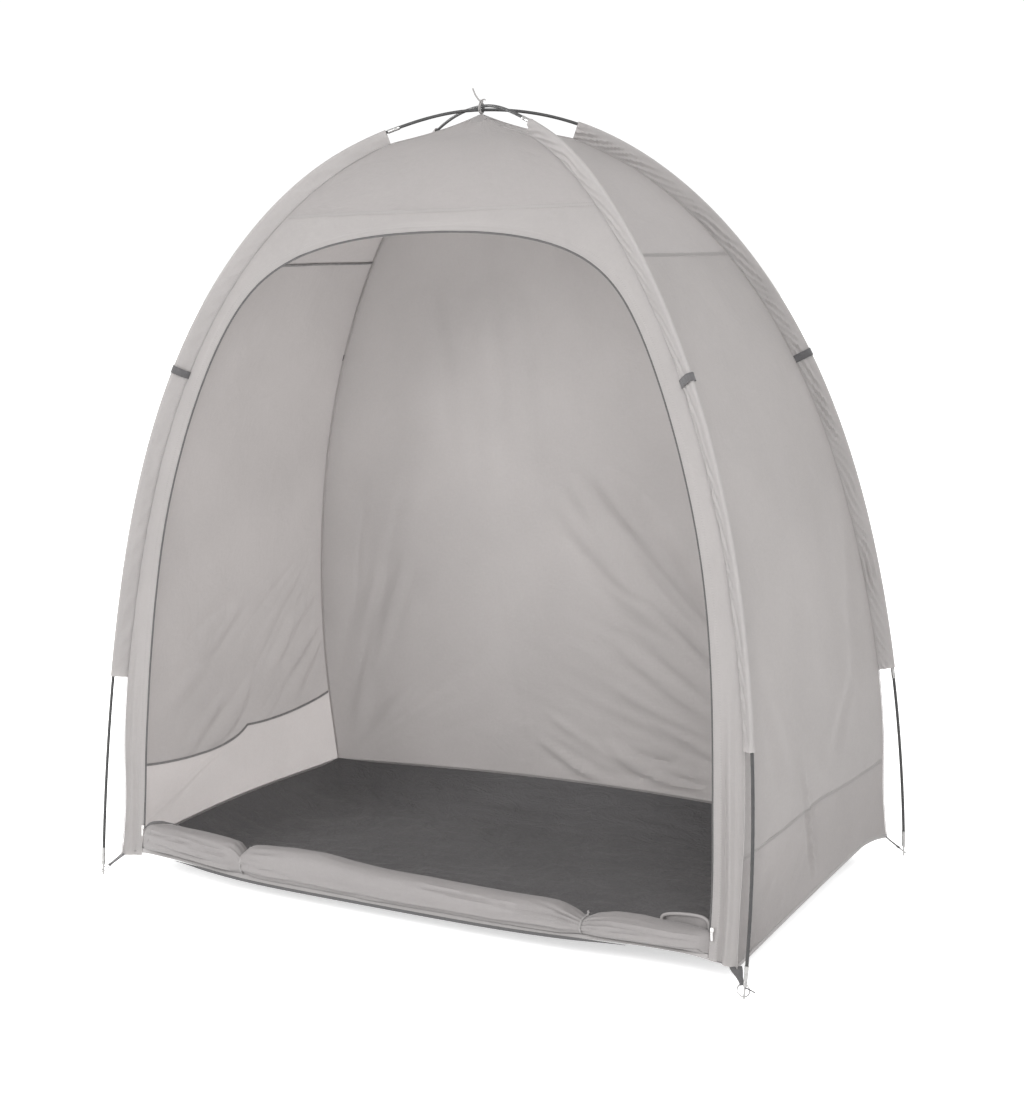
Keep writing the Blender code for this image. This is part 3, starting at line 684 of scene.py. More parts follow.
def hard(name, colour, rough, metal=0.0, streak=0.0, wear=0.1, gloss=0.5):
    """Drawn rod, plated wire or moulded plastic: fine streaks, and rubbed spots."""
    made, tree, shader, at = textured(name, "object")
    if streak:
        lines = noise_of(tree, scaled(tree, at, (1.0, 1.0, 1.0 / streak)), 900.0, 2.0, 0.6)
    else:
        lines = noise_of(tree, at, 900.0, 2.0, 0.6)
    rub = noise_of(tree, at, 55.0, 4.0, 0.62)
    n = bump(tree, lines, 0.00006, 0.6)
    n = bump(tree, rub, 0.0002, 0.35, n)
    tree.links.new(n, shader.inputs["Normal"])
    tree.links.new(
        tinted(tree, colour, ranged(tree, rub, 0.35, 0.7, 1.0 - wear, 1.0 + wear)),
        shader.inputs["Base Color"],
    )
    tree.links.new(
        ranged(tree, lines, 0.3, 0.7, max(rough - 0.08, 0.05), rough + 0.10), shader.inputs["Roughness"]
    )
    shader.inputs["Metallic"].default_value = metal
    shader.inputs["Specular IOR Level"].default_value = gloss
    return made


def twisted_cord(name, colour, pitch=0.004):
    made, tree, shader, uv = textured(name, "cloth")
    split = tree.nodes.new("ShaderNodeSeparateXYZ")
    tree.links.new(uv, split.inputs[0])
    lay = maths(tree, "ADD", split.outputs[0], split.outputs[1])
    lay2 = maths(tree, "SUBTRACT", split.outputs[0], split.outputs[1])
    a = maths(tree, "SINE", maths(tree, "MULTIPLY", lay, 2 * math.pi / pitch))
    b = maths(tree, "SINE", maths(tree, "MULTIPLY", lay2, 2 * math.pi / pitch))
    braid = maths(tree, "MAXIMUM", a, b)
    n = bump(tree, braid, 0.0004, 0.8)
    tree.links.new(n, shader.inputs["Normal"])
    # colour from the braid bump: painted shade in the grooves between strands and painted highlight on their crests
    tree.links.new(
        tinted(tree, colour, ranged(tree, braid, -0.6, 1.0, 0.72, 1.1)), shader.inputs["Base Color"]
    )
    shader.inputs["Roughness"].default_value = 0.85
    return made


# one cloth makes the walls, caps, sleeves and door; the copies below differ from outer_fabric in colour only as painted
# light and shade
OUTER = fabric("outer_fabric", (0.250, 0.240, 0.237), through=0.45)
# painted light: the front round the doorway gets a lighter colour of the same cloth
FRONT = fabric("front_fabric_painted_lighter", (0.308, 0.296, 0.292), crinkle=0.6, through=0.42)
# painted light: the right wall gets a lighter colour of the same cloth
RIGHT = fabric("right_fabric_painted_lighter", (0.268, 0.257, 0.253), through=0.45)
# painted light: the sill strip gets its own non-translucent copy of the cloth, lighter than the rolled door's, against
# the shade under the roll
SILL = fabric("sill_fabric_painted_lighter", (0.240, 0.230, 0.227), crinkle=0.3)
SKIRT = fabric("skirt_fabric", (0.250, 0.240, 0.237), through=0.56)
# painted light: the inside corner seams get a far lighter colour of the cloth, so their double layer does not come out
# in its own shade
BOUND = fabric("bound_seam_fabric_painted_lighter", (0.44, 0.425, 0.42), crinkle=0.3, through=0.60)
# painted light: the caps get a lighter colour of the same cloth
TOP_OUTER = fabric("top_fabric_painted_lighter", (0.295, 0.283, 0.280), through=0.45)
# painted light: the pole sleeves get a lighter colour of the same cloth
SLEEVE = fabric("sleeve_fabric_painted_lighter", (0.340, 0.327, 0.323), crinkle=0.8, through=0.42)
# painted shade: the rolled door and its loop get a darker colour of the same cloth, with no light through it
DOOR = fabric("door_fabric_painted_darker", (0.188, 0.178, 0.1755), crinkle=1.2)
SEAM = fabric("seam_fabric", (0.270, 0.259, 0.256), crinkle=0.5, through=0.32)
FLOOR = fabric(
    "groundsheet_fabric", (0.061, 0.0595, 0.0608), pitch=0.0016, crinkle=2.4, rough=(0.46, 0.62),
    sheen=0.05, streak=2.4, mottle=0.09,
)
WEB = webbing("dark_webbing", (0.060, 0.058, 0.060))
BINDING = webbing("dark_binding", (0.220, 0.213, 0.212), rib=0.0012)
ZIP = webbing("zip_tape_weave", (0.074, 0.071, 0.0712), rib=0.0010)
TAPE = webbing("light_tape", (0.20, 0.191, 0.188), rib=0.0012)
THREAD = webbing("thread", (0.34, 0.325, 0.32), rib=0.0008)
DARK_THREAD = webbing("dark_thread", (0.13, 0.127, 0.127), rib=0.0008)
ROD = hard("pole_rod", (0.040, 0.040, 0.0405), 0.50, 0.0, streak=60.0, wear=0.18, gloss=0.28)
STEEL = hard("plated_metal", (0.33, 0.326, 0.322), 0.32, 0.85, streak=20.0, wear=0.06)
PULL = hard("zip_pull_metal", (0.54, 0.527, 0.518), 0.38, 0.25, wear=0.05)
CORD = twisted_cord("braided_cord", (0.23, 0.222, 0.218))

# ------------------------------------------------------------ camera
YAW, PITCH, ROLL, FOCAL_PX = 0.5342188, -0.1582831, -0.0267590, 1831.06
_fw = Vector((-math.sin(YAW) * math.cos(PITCH), math.cos(YAW) * math.cos(PITCH), math.sin(PITCH)))
_right = Vector((math.cos(YAW), math.sin(YAW), 0.0))
_up = _right.cross(_fw)
_x = _right * math.cos(ROLL) + _up * math.sin(ROLL)
_y = -_right * math.sin(ROLL) + _up * math.cos(ROLL)
_turn = Matrix((_x, _y, -_fw)).transposed().to_4x4()
camera_data = bpy.data.cameras.new("camera")
camera_data.sensor_width = 36.0
camera_data.sensor_fit = "AUTO"
camera_data.lens = FOCAL_PX * 36.0 / 1101.0
camera_data.clip_start, camera_data.clip_end = 0.05, 200.0
camera = bpy.data.objects.new("camera", camera_data)
camera.matrix_world = Matrix.Translation((2.4969, -4.1255, 1.6424)) @ _turn
bpy.context.scene.collection.objects.link(camera)
bpy.context.scene.camera = camera


# ------------------------------------------------------------ wrinkles
def ridge(q):
    return (1.0 - 1.6 * q * q) * np.exp(-q * q)


def fan(x, z, corner, rays, seed=0):
    """Folds drawn out of a corner: each ray is (angle, width, height, from, to), degrees and metres."""
    dx, dz = x - corner[0], z - corner[1]
    r = np.hypot(dx, dz)
    a = np.degrees(np.arctan2(dz, dx))
    total = np.zeros(np.broadcast(x, z).shape)
    for k, (angle, width, height, r0, r1) in enumerate(rays):
        bend = angle + 2.2 * noise(r * 2.4, 3.1 * k + 0.5, seed) + 0.8 * noise(r * 7.0, 5.7 * k, seed + 2)
        env = smooth(r0 * 0.35, r0, r) * (1.0 - smooth(r1 * 0.55, r1, r))
        env = env * (0.78 + 0.35 * noise(r * 6.0, 1.7 * k, seed + 4))
        total = total + height * env * ridge((a - bend) / width)
    return total


def streaks(x, z, angle, wave, length, seed):
    """Short parallel folds at an angle: wave is their spacing, length how far each runs."""
    c, s = math.cos(math.radians(angle)), math.sin(math.radians(angle))
    along, over = x * c + z * s, -x * s + z * c
    return noise(along / length, over / wave, seed) * smooth(
        -0.1, 0.5, noise(along / (length * 1.6), over / (wave * 3.2), seed + 9)
    )


def crease(x, z, points, width, height, seed=0):
    """A fold that runs along a line of points and dies out at both its ends."""
    points = np.array(points, float)
    x, z = np.broadcast_arrays(np.asarray(x, float), np.asarray(z, float))
    x = x + 0.006 * noise(z * 7.0, 0.3, seed + 200)
    seg = np.diff(points, axis=0)
    long = np.linalg.norm(seg, axis=1)
    start = np.concatenate([[0.0], np.cumsum(long)])
    near, gone = np.full(x.shape, 9.0), np.zeros(x.shape)
    for k in range(len(seg)):
        dx, dz = x - points[k, 0], z - points[k, 1]
        t = (dx * seg[k, 0] + dz * seg[k, 1]) / long[k] ** 2
        off = (seg[k, 0] * dz - seg[k, 1] * dx) / long[k]
        tt = np.clip(t, 0.0 if k else -0.5, 1.0 if k < len(seg) - 1 else 1.5)
        far = np.hypot(off, (t - tt) * long[k])
        closer = far < np.abs(near)
        near = np.where(closer, np.where(off < 0, -far, far), near)
        gone = np.where(closer, start[k] + tt * long[k], gone)
    f = gone / start[-1]
    env = smooth(-0.28, 0.30, f) * (1.0 - smooth(0.70, 1.28, f))
    w = width * (1.05 + 0.45 * f)
    q = near / w
    return height * env * (np.exp(-(q**2)) - 0.32 * np.exp(-(((np.abs(q) - 1.9) / 0.8) ** 2)))


BACK_CREASES = (
    (((0.13, 1.01), (0.225, 0.912), (0.30, 0.82), (0.37, 0.735), (0.44, 0.645)), 0.032, 0.0108),
    (((0.03, 0.995), (0.085, 0.92), (0.145, 0.845), (0.20, 0.775)), 0.022, 0.0054),
    (((0.008, 0.92), (0.075, 0.84), (0.14, 0.76), (0.20, 0.69), (0.30, 0.59)), 0.026, 0.0058),
    (((0.161, 0.522), (0.259, 0.45), (0.363, 0.378), (0.47, 0.31)), 0.014, 0.0030),
    (((0.226, 0.326), (0.317, 0.284), (0.407, 0.242), (0.50, 0.205)), 0.010, 0.0034),
    (((0.20, 0.60), (0.30, 0.52), (0.42, 0.43)), 0.016, 0.0030),
    (((0.30, 0.64), (0.40, 0.55), (0.50, 0.47)), 0.016, 0.0034),
    (((0.10, 0.42), (0.22, 0.36), (0.34, 0.30)), 0.012, 0.0026),
    (((-0.125, 0.205), (-0.045, 0.158), (0.05, 0.108)), 0.012, 0.0065),
    (((0.097, 0.220), (0.174, 0.175), (0.267, 0.140)), 0.016, 0.0065),
    (((-0.095, 0.299), (-0.017, 0.245), (0.079, 0.202)), 0.010, 0.0030),
    (((0.20, 0.155), (0.30, 0.135), (0.42, 0.120)), 0.009, 0.0042),
    (((0.28, 0.185), (0.38, 0.165), (0.48, 0.150)), 0.010, 0.0036),
    (((-0.690, 0.680), (-0.765, 0.480), (-0.825, 0.290)), 0.022, 0.0060),
    (((-0.585, 0.710), (-0.690, 0.490), (-0.795, 0.280), (-0.875, 0.120)), 0.020, 0.0055),
    (((-0.580, 0.356), (-0.695, 0.244), (-0.839, 0.105)), 0.014, 0.0036),
    (((-0.700, 0.700), (-0.780, 0.425), (-0.844, 0.228), (-0.888, 0.110)), 0.016, -0.0030),
)
LEFT_CREASES = (
    (((0.462, 0.560), (0.337, 0.457), (0.238, 0.398), (0.139, 0.306)), 0.015, 0.0070),
    (((0.401, 0.520), (0.278, 0.430), (0.200, 0.362), (0.121, 0.300)), 0.010, -0.0040),
    (((0.400, 0.630), (0.297, 0.549), (0.221, 0.462), (0.161, 0.390)), 0.015, 0.0060),
    (((0.021, 0.659), (-0.038, 0.618), (-0.088, 0.576), (-0.155, 0.539)), 0.018, 0.0060),
    (((-0.048, 0.649), (-0.115, 0.610), (-0.173, 0.576)), 0.014, 0.0045),
    (((0.079, 0.408), (0.022, 0.350), (-0.042, 0.307), (-0.107, 0.265)), 0.015, 0.0070),
    (((0.050, 0.345), (-0.020, 0.300), (-0.070, 0.268)), 0.009, 0.0040),
    (((-0.056, 0.380), (-0.128, 0.333), (-0.208, 0.273)), 0.014, 0.0055),
    (((-0.130, 0.499), (-0.198, 0.468), (-0.281, 0.420)), 0.018, 0.0040),
    (((0.447, 0.478), (0.386, 0.416), (0.293, 0.325)), 0.014, 0.0055),
    (((0.300, 0.700), (0.210, 0.620), (0.130, 0.530)), 0.020, 0.0040),
)
RIGHT_CREASES = (
    (((0.250, 0.560), (0.180, 0.480), (0.100, 0.390)), 0.020, 0.0030),
    (((-0.300, 0.640), (-0.240, 0.520), (-0.200, 0.400)), 0.022, -0.0030),
    (((0.340, 0.900), (0.300, 0.700), (0.280, 0.500)), 0.026, 0.0035),
)


def creases(x, z, lines, seed=0):
    return sum(crease(x, z, points, width, height, seed + k) for k, (points, width, height) in enumerate(lines))


def patch(x, z, cx, cz, rx, rz):
    return np.exp(-(((x - cx) / rx) ** 2) - (((z - cz) / rz) ** 2))


def back_relief(x, z):
    half = corner_x(z)
    s = np.clip(np.abs(x) / half, 0.0, 1.0)
    low = hem("back", x / half)
    edge = (1.0 - s**14) * smooth(0.0, 0.05, z - low) * (1.0 - smooth(1.70, 1.764, z))
    bow = 0.006 * (1.0 - s**2) * smooth(0.05, 0.7, z) * (1.0 - smooth(1.2, 1.764, z))
    left = fan(
        x, z, (-0.905, 0.052),
        [
            (81.0, 1.2, 0.0010, 0.30, 1.10), (77.5, 1.3, 0.0026, 0.12, 1.15),
            (73.0, 1.1, -0.0016, 0.20, 1.05), (69.0, 1.9, 0.0030, 0.10, 1.18),
            (64.0, 1.6, -0.0022, 0.16, 0.95), (60.0, 1.7, 0.0022, 0.15, 0.95),
            (53.0, 1.9, 0.0012, 0.20, 0.85), (46.0, 2.3, 0.0018, 0.15, 0.85),
            (37.5, 2.2, 0.0018, 0.18, 0.90), (30.0, 2.0, 0.0011, 0.20, 0.80),
            (21.0, 2.1, 0.0012, 0.15, 0.75), (13.0, 1.8, 0.0010, 0.15, 0.60),
        ],
        seed=3,
    )
    right = fan(
        x, z, (0.905, 0.052),
        [
            (99.0, 1.3, 0.0018, 0.15, 0.95), (106.0, 1.6, 0.0022, 0.15, 1.00),
            (114.0, 1.8, 0.0018, 0.20, 1.05), (122.0, 1.5, 0.0016, 0.20, 1.15),
            (128.6, 1.15, -0.0030, 0.20, 1.30), (131.6, 1.3, 0.0040, 0.20, 1.32),
            (135.0, 1.1, -0.0016, 0.25, 1.25), (138.0, 1.4, 0.0034, 0.18, 1.38),
            (142.0, 1.2, -0.0016, 0.20, 1.15), (146.0, 1.3, 0.0018, 0.20, 1.20),
            (151.5, 1.5, 0.0015, 0.20, 1.15), (157.0, 1.5, 0.0018, 0.18, 1.15),
            (162.0, 1.4, 0.0015, 0.18, 1.20), (167.0, 1.3, 0.0016, 0.18, 1.25),
            (171.5, 1.1, 0.0012, 0.15, 1.10),
        ],
        seed=8,
    )
    heap = 0.0030 * (creased(x * 9.0 + 0.8 * noise(x * 5, z * 5, 6), z * 22.0, 12) - 0.35)
    heap = heap * patch(x, z, 0.20, 0.17, 0.42, 0.085)
    small = 0.0011 * streaks(x, z, 158.0, 0.020, 0.16, 21) * patch(x, z, 0.35, 0.38, 0.45, 0.26)
    small = small + 0.0008 * streaks(x, z, 62.0, 0.022, 0.20, 27) * patch(x, z, -0.55, 0.55, 0.35, 0.5)
    hang = 0.0007 * noise(x * 22.0, z * 1.4, 31) * smooth(0.7, 1.1, z) * (1 - smooth(1.45, 1.7, z))
    line = -0.0009 * np.exp(-(((x + 0.235 - 0.10 * (0.765 - z)) / 0.006) ** 2)) * smooth(0.12, 0.2, z) * (
        1 - smooth(0.70, 0.80, z)
    )
    soft = 0.0022 * fractal(x * 3.1, z * 2.6, 3, 17)
    drawn = creases(x, z, BACK_CREASES, 1)
    return edge * (bow + 2.0 * drawn - (1.5 * left + 2.4 * (right + small + hang + line)) - 2.6 * heap + 1.2 * soft)


def right_tuck(y, z):
    """A pinched fold standing out of the right wall where the skirt was sewn on full."""
    off = y + 0.010 + 0.285 * (z - 0.08) + 0.0022 * np.sin(z * 120.0)
    fold = 0.0058 * np.exp(-((off / np.where(off < 0.0, 0.0150, 0.0070)) ** 2)) - 0.0026 * np.exp(-(((np.abs(off) - 0.021) / 0.010) ** 2))
    ripple = 0.0020 * np.sin(z * 165.0 + 40.0 * off) * np.exp(-((off / 0.019) ** 2))
    return (fold + ripple) * smooth(0.09, 0.17, z) * (1.0 - smooth(0.33, 0.46, z))


def side_relief(side, y, z):
    half = corner_y(z)
    s = np.clip(np.abs(y) / half, 0.0, 1.0)
    low = skirt_seam(side, y / half)
    above = z - low
    edge = (1.0 - s**14) * (1.0 - smooth(1.58, 1.64, z)) * smooth(0.0, 0.014, above)
    bow = 0.005 * (1.0 - s**2) * smooth(0.25, 0.8, z) * (1.0 - smooth(1.1, 1.64, z))
    soft = 0.0020 * fractal(y * 3.4, z * 2.4, 3, 51 if side == "left" else 57)
    if side == "left":
        fold = fan(
            y, z, (0.455, 0.86),
            [
                (-128.0, 1.8, 0.0022, 0.18, 0.75), (-132.5, 1.7, -0.0016, 0.20, 0.70),
                (-137.0, 1.9, 0.0026, 0.16, 0.82), (-142.0, 1.7, -0.0014, 0.20, 0.72),
                (-147.0, 2.0, 0.0018, 0.20, 0.78), (-154.0, 2.2, 0.0013, 0.22, 0.80),
                (-119.0, 2.0, 0.0020, 0.15, 0.62), (-110.0, 2.2, 0.0016, 0.12, 0.58),
                (-101.0, 2.0, 0.0012, 0.12, 0.50),
            ],
            seed=14,
        )
        streak = 0.0015 * streaks(y, z, 46.0, 0.026, 0.20, 33) * patch(y, z, 0.0, 0.50, 0.42, 0.22)
        lift = -0.0016 * np.sin(y * 60.0 + 2.0 * noise(y * 6, 0.3, 4)) * np.exp(-above / 0.045)
        drawn = creases(y, z, LEFT_CREASES, 20)
        return edge * (bow + 1.9 * drawn - 1.5 * (fold + streak) + lift + soft)
    streak = 0.0012 * streaks(y, z, 128.0, 0.030, 0.22, 37) * patch(y, z, 0.1, 0.60, 0.42, 0.30)
    drape = 0.0012 * noise(y * 14.0, z * 1.1, 44) * smooth(0.35, 0.6, z) * (1 - smooth(1.3, 1.6, z))
    lift = -0.0010 * np.sin(y * 52.0 + 1.4) * np.exp(-above / 0.04)
    drawn = creases(y, z, RIGHT_CREASES, 40)
    return edge * (bow + 1.4 * drawn - 2.0 * (streak - drape) + lift + soft) - right_tuck(y, z)


def skirt_relief(side, y, z):
    half = corner_y(z)
    s = np.clip(np.abs(y) / half, 0.0, 1.0)
    low, top = hem(side, y / half), skirt_seam(side, y / half)
    mid = np.clip((z - low) / (top - low), 0.0, 1.0)
    edge = (1.0 - s**12) * np.sin(math.pi * np.clip(mid, 0.0, 1.0)) ** 0.7
    soft = 0.0016 * fractal(y * 5.2, z * 5.0, 3, 61 if side == "left" else 66)
    if side == "left":
        # one crease runs from the seam down toward the front corner
        long_fold = crease(y, z, ((-0.010, 0.259), (-0.173, 0.201), (-0.400, 0.114)), 0.007, 0.0050, 60)
        fold = 0.0010 * np.exp(-(((y - 0.004) / 0.004) ** 2))
        return edge * (soft + long_fold - fold) + 0.0008 * noise(y * 20, z * 6, 71) * edge
    pull = 0.0012 * streaks(y, z, 38.0, 0.022, 0.14, 73)
    return edge * (soft - pull) - right_tuck(y, z)


def panel(name, side, low, high, relief, look, nu, nv, nodes, power=1.0):
    """A wall between two seams, low(s) and high(s) giving their heights."""
    s = np.linspace(-1.0, 1.0, nu)[None, :]
    v = np.linspace(0.0, 1.0, nv)[:, None] ** power
    z = low(s) + (high(s) - low(s)) * v
    half = half_across(side, z)
    a = s * half
    p = wall(side, a, z, relief(a, z) + 0.0004)
    made = cloth(name, p, look)
    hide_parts(*nodes)
    return made, p


flat_line = lambda value: (lambda s: value + 0.0 * np.asarray(s, float))

panel(
    "back_wall_cloth", "back", lambda s: hem("back", s) + 0.0003, flat_line(FRONT_SEAM - 0.0004),
    back_relief, OUTER, 156, 154, ["back_wall"],
)
for _side in ("left", "right"):
    panel(
        _side + "_wall_cloth", _side,
        lambda s, _side=_side: skirt_seam(_side, s) + 0.0004, flat_line(SIDE_SEAM - 0.0004),
        lambda a, z, _side=_side: side_relief(_side, a, z), OUTER if _side == "left" else RIGHT, 94, 128,
        [_side + "_wall"],
    )
    panel(
        _side + "_skirt_cloth", _side,
        lambda s, _side=_side: hem(_side, s) + 0.0003,
        lambda s, _side=_side: skirt_seam(_side, s) - 0.0004,
        lambda a, z, _side=_side: skirt_relief(_side, a, z), SKIRT, 132, 36, [_side + "_skirt"],
    )


# ------------------------------------------------------------ caps over the upper seams
def cap(side, seam, nu, nv, seed):
    s = np.linspace(-1.0, 1.0, nu)[None, :]
    base_run = RULED_TOP - seam
    wide = float(half_across(side, RULED_TOP))
    own = float(corner_y(RULED_TOP) if side in ("front", "back") else corner_x(RULED_TOP))
    rise_run = math.hypot(own, PEAK - RULED_TOP)
    slope_run = float(
        np.hypot(
            base_run,
            (corner_y(seam) - corner_y(RULED_TOP))
            if side in ("front", "back")
            else (corner_x(seam) - corner_x(RULED_TOP)),
        )
    )
    k = np.linspace(0.0, 1.0, nv)[:, None] * (slope_run + rise_run)
    low_part = k <= slope_run
    # heights on the ruled part, evenly spaced along the cloth
    zz = np.linspace(seam, RULED_TOP, 400)
    prof = wall(side, 0.0, zz)
    run = np.concatenate([[0.0], np.cumsum(np.linalg.norm(np.diff(prof, axis=0), axis=1))])
    z = np.interp(np.minimum(k, slope_run) * run[-1] / slope_run, run, zz) + 0.0004
    a = s * half_across(side, z)
    half = np.abs(s)
    relief = 0.0016 * fractal(a * 5.0 + seed, z * 6.0 + k, 3, seed) * (1 - half**12)
    relief = relief + 0.0030 * (1 - half**2) * smooth(0, 0.3, k) * (1 - smooth(0.7, 1.0, k / k.max()))
    fall = 0.0009 * np.sin(a * 46.0 + 2.0 * noise(a * 5, 0.2, seed)) * np.exp(-k / 0.03)
    relief = (relief + fall * (1 - half**12)) * smooth(0.0, 0.012, k)
    p = wall(side, a, z, relief + 0.0004)
    q = np.clip((k - slope_run) / rise_run, 0.0, 1.0)
    q = q * 0.985
    base = wall(side, s * wide, np.full_like(s, RULED_TOP), 0.0)
    up = (PEAK - RULED_TOP) * (0.72 * q + 0.28 * q**3)
    roof = base * np.stack([1.0 - q, 1.0 - q, np.ones_like(q)], -1)
    roof = roof + np.stack([np.zeros_like(up), np.zeros_like(up), up], -1)
    sink = relief * 0.8 + 0.0004
    roof = roof - np.stack([np.zeros_like(sink), np.zeros_like(sink), sink], -1)
    p = np.where(low_part[..., None], p, roof)
    # the fold between the ruled part and the roof is softened
    for _ in range(10):
        keep = p.copy()
        p[1:-1] = 0.5 * keep[1:-1] + 0.25 * (keep[:-2] + keep[2:])
    made = cloth(side + "_top_cloth", p, TOP_OUTER)
    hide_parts(side + "_top_panel")
    return p


CAPS = {
    "front": cap("front", FRONT_SEAM, 120, 52, 81),
    "back": cap("back", FRONT_SEAM, 120, 52, 82),
    "left": cap("left", SIDE_SEAM, 80, 76, 83),
    "right": cap("right", SIDE_SEAM, 80, 76, 84),
}


# ------------------------------------------------------------ front wall round the doorway
def door_flat(zlow=0.0505):
    """The left half of the doorway's outline from the hem up to its top, as (x, z)."""
    first = math.asin((1.5 / DOOR_TOP) ** 15)
    z1 = np.linspace(zlow, 1.5, 1200)
    a = np.linspace(1.0, 0.0, 900)
    phi = first + (math.pi / 2 - first) * (1.0 - a) ** 1.15
    z2 = DOOR_TOP * np.sin(phi) ** (1.0 / 15.0)
    z = np.concatenate([z1, z2[1:]])
    return np.stack([-door_half(z), z], 1)


_half = door_flat(float(hem("front", float(door_half(0.06)) / float(corner_x(0.06)))) + 0.0003)
HALF_PATH, HALF_RUN = resample(_half, 0.0062)
DOOR_FLAT = np.concatenate([HALF_PATH, HALF_PATH[-2::-1] * (-1.0, 1.0)])


def outer_match(path):
    """For each point of the half outline, its partner on the corner seam or the upper seam."""
    turn = 1.30
    run = np.concatenate([[0.0], np.cumsum(np.linalg.norm(np.diff(path, axis=0), axis=1))])
    start = np.interp(turn, path[:, 1], run)
    f = np.clip((run - start) / (run[-1] - start), 0.0, 1.0)
    z = np.linspace(turn, FRONT_SEAM - 0.0004, 300)
    up = np.stack([-half_across("front", z), z], 1)
    x = np.linspace(up[-1, 0], 0.0, 300)
    over = np.stack([x, np.full(300, FRONT_SEAM - 0.0004)], 1)
    rim = np.concatenate([up, over[1:]])
    rrun = np.concatenate([[0.0], np.cumsum(np.linalg.norm(np.diff(rim, axis=0), axis=1))])
    out = np.stack([np.interp(f * rrun[-1], rrun, rim[:, k]) for k in (0, 1)], 1)
    # a station falls exactly on the corner
    near = np.argmin(np.linalg.norm(out - up[-1], axis=1))
    out[near] = up[-1]
    low = path[:, 1] < turn
    zz = path[:, 1].copy()
    zz[0] = float(hem("front", 1.0)) + 0.0003
    out[low, 0] = -half_across("front", zz[low])
    out[low, 1] = zz[low]
    return out


_outer = outer_match(HALF_PATH)
OUTER_FLAT = np.concatenate([_outer, _outer[-2::-1] * (-1.0, 1.0)])
_v = np.linspace(0.0, 1.0, 21)[:, None] ** 1.12
_x = DOOR_FLAT[None, :, 0] + (OUTER_FLAT - DOOR_FLAT)[None, :, 0] * _v
_z = DOOR_FLAT[None, :, 1] + (OUTER_FLAT - DOOR_FLAT)[None, :, 1] * _v
_run = np.concatenate([[0.0], np.cumsum(np.linalg.norm(np.diff(DOOR_FLAT, axis=0), axis=1))])[None, :]
_from_zip = np.linalg.norm(OUTER_FLAT - DOOR_FLAT, axis=1)[None, :] * _v
_to_seam = np.linalg.norm(OUTER_FLAT - DOOR_FLAT, axis=1)[None, :] * (1.0 - _v)


def front_relief(x, z, run, from_zip, to_seam):
    side = np.where(x > 0, 1.0, -1.0)
    fold = -0.0006 * (1.0 - smooth(0.0085, 0.0105, from_zip))
    pucker = 0.0008 * noise(run * 46.0, 0.4, 91) * np.exp(-from_zip / 0.020) * smooth(0.008, 0.014, from_zip)
    pucker = pucker + 0.0007 * noise(run * 38.0, 0.8, 94) * np.exp(-to_seam / 0.016)
    wide = from_zip + to_seam
    low = 1.0 - smooth(0.42, 0.72, z)
    lengthwise = 0.0034 * np.sin(from_zip * 250.0 + 1.6 * noise(z * 2.2, side, 95)) * low
    lengthwise = lengthwise + 0.0044 * np.sin(from_zip * 120.0 - 0.6 + noise(z * 1.8, side, 96)) * low
    lengthwise = lengthwise * smooth(0.010, 0.030, from_zip) * smooth(0.0, 0.020, to_seam)
    lengthwise = lengthwise * np.where(x > 0, 1.0, 0.55)
    slant = 0.0012 * streaks(x * side, z, 112.0, 0.024, 0.16, 97) * smooth(0.004, 0.03, to_seam)
    soft = 0.0012 * fractal(x * 6.0, z * 4.0, 3, 99) * smooth(0.0, 0.03, to_seam) * smooth(0.01, 0.03, from_zip)
    return fold + pucker + lengthwise + slant * np.minimum(wide / 0.07, 1.0) + soft


_p = wall("front", _x, _z, front_relief(_x, _z, _run, _from_zip, _to_seam) + 0.0009)
_wide = np.broadcast_to(_run, _x.shape)
SURROUND = _p
surround = cloth("door_surround_cloth", _p, FRONT, uv=np.stack([_wide, _from_zip], -1))
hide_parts("door_jamb_left", "door_jamb_right", "door_head")

# sill strip between the hem and the rolled door
_s = np.linspace(-1.0, 1.0, 260)[None, :]
_limit = float(door_half(0.055)) - 0.0006
_low = hem("front", _s * _limit / corner_x(0.055)) + 0.0003
_k = np.linspace(0.0, 1.0, 5)[:, None]
_zz = _low + (SILL_H + 0.0048) * _k
_flare = 0.0100 * smooth(1.0, 0.90, np.abs(_s)) * (1.0 - _k)
_rel = 0.0006 * noise(_s * 26.0, _k * 1.5, 101) + 0.0004 - _flare
_p = wall("front", _s * _limit + 0.0 * _k, _zz, _rel)
sill = cloth("door_sill_cloth", _p, SILL)
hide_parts("door_sill")


# ------------------------------------------------------------ groundsheet
def rim(side, s):
    end = 1.0 - (np.abs(s) if side == "back" else s)
    corner = 0.0 if side == "front" else 0.0055 * np.exp(-((end / 0.10) ** 2))
    return hem(side, s) + 0.0018 + corner


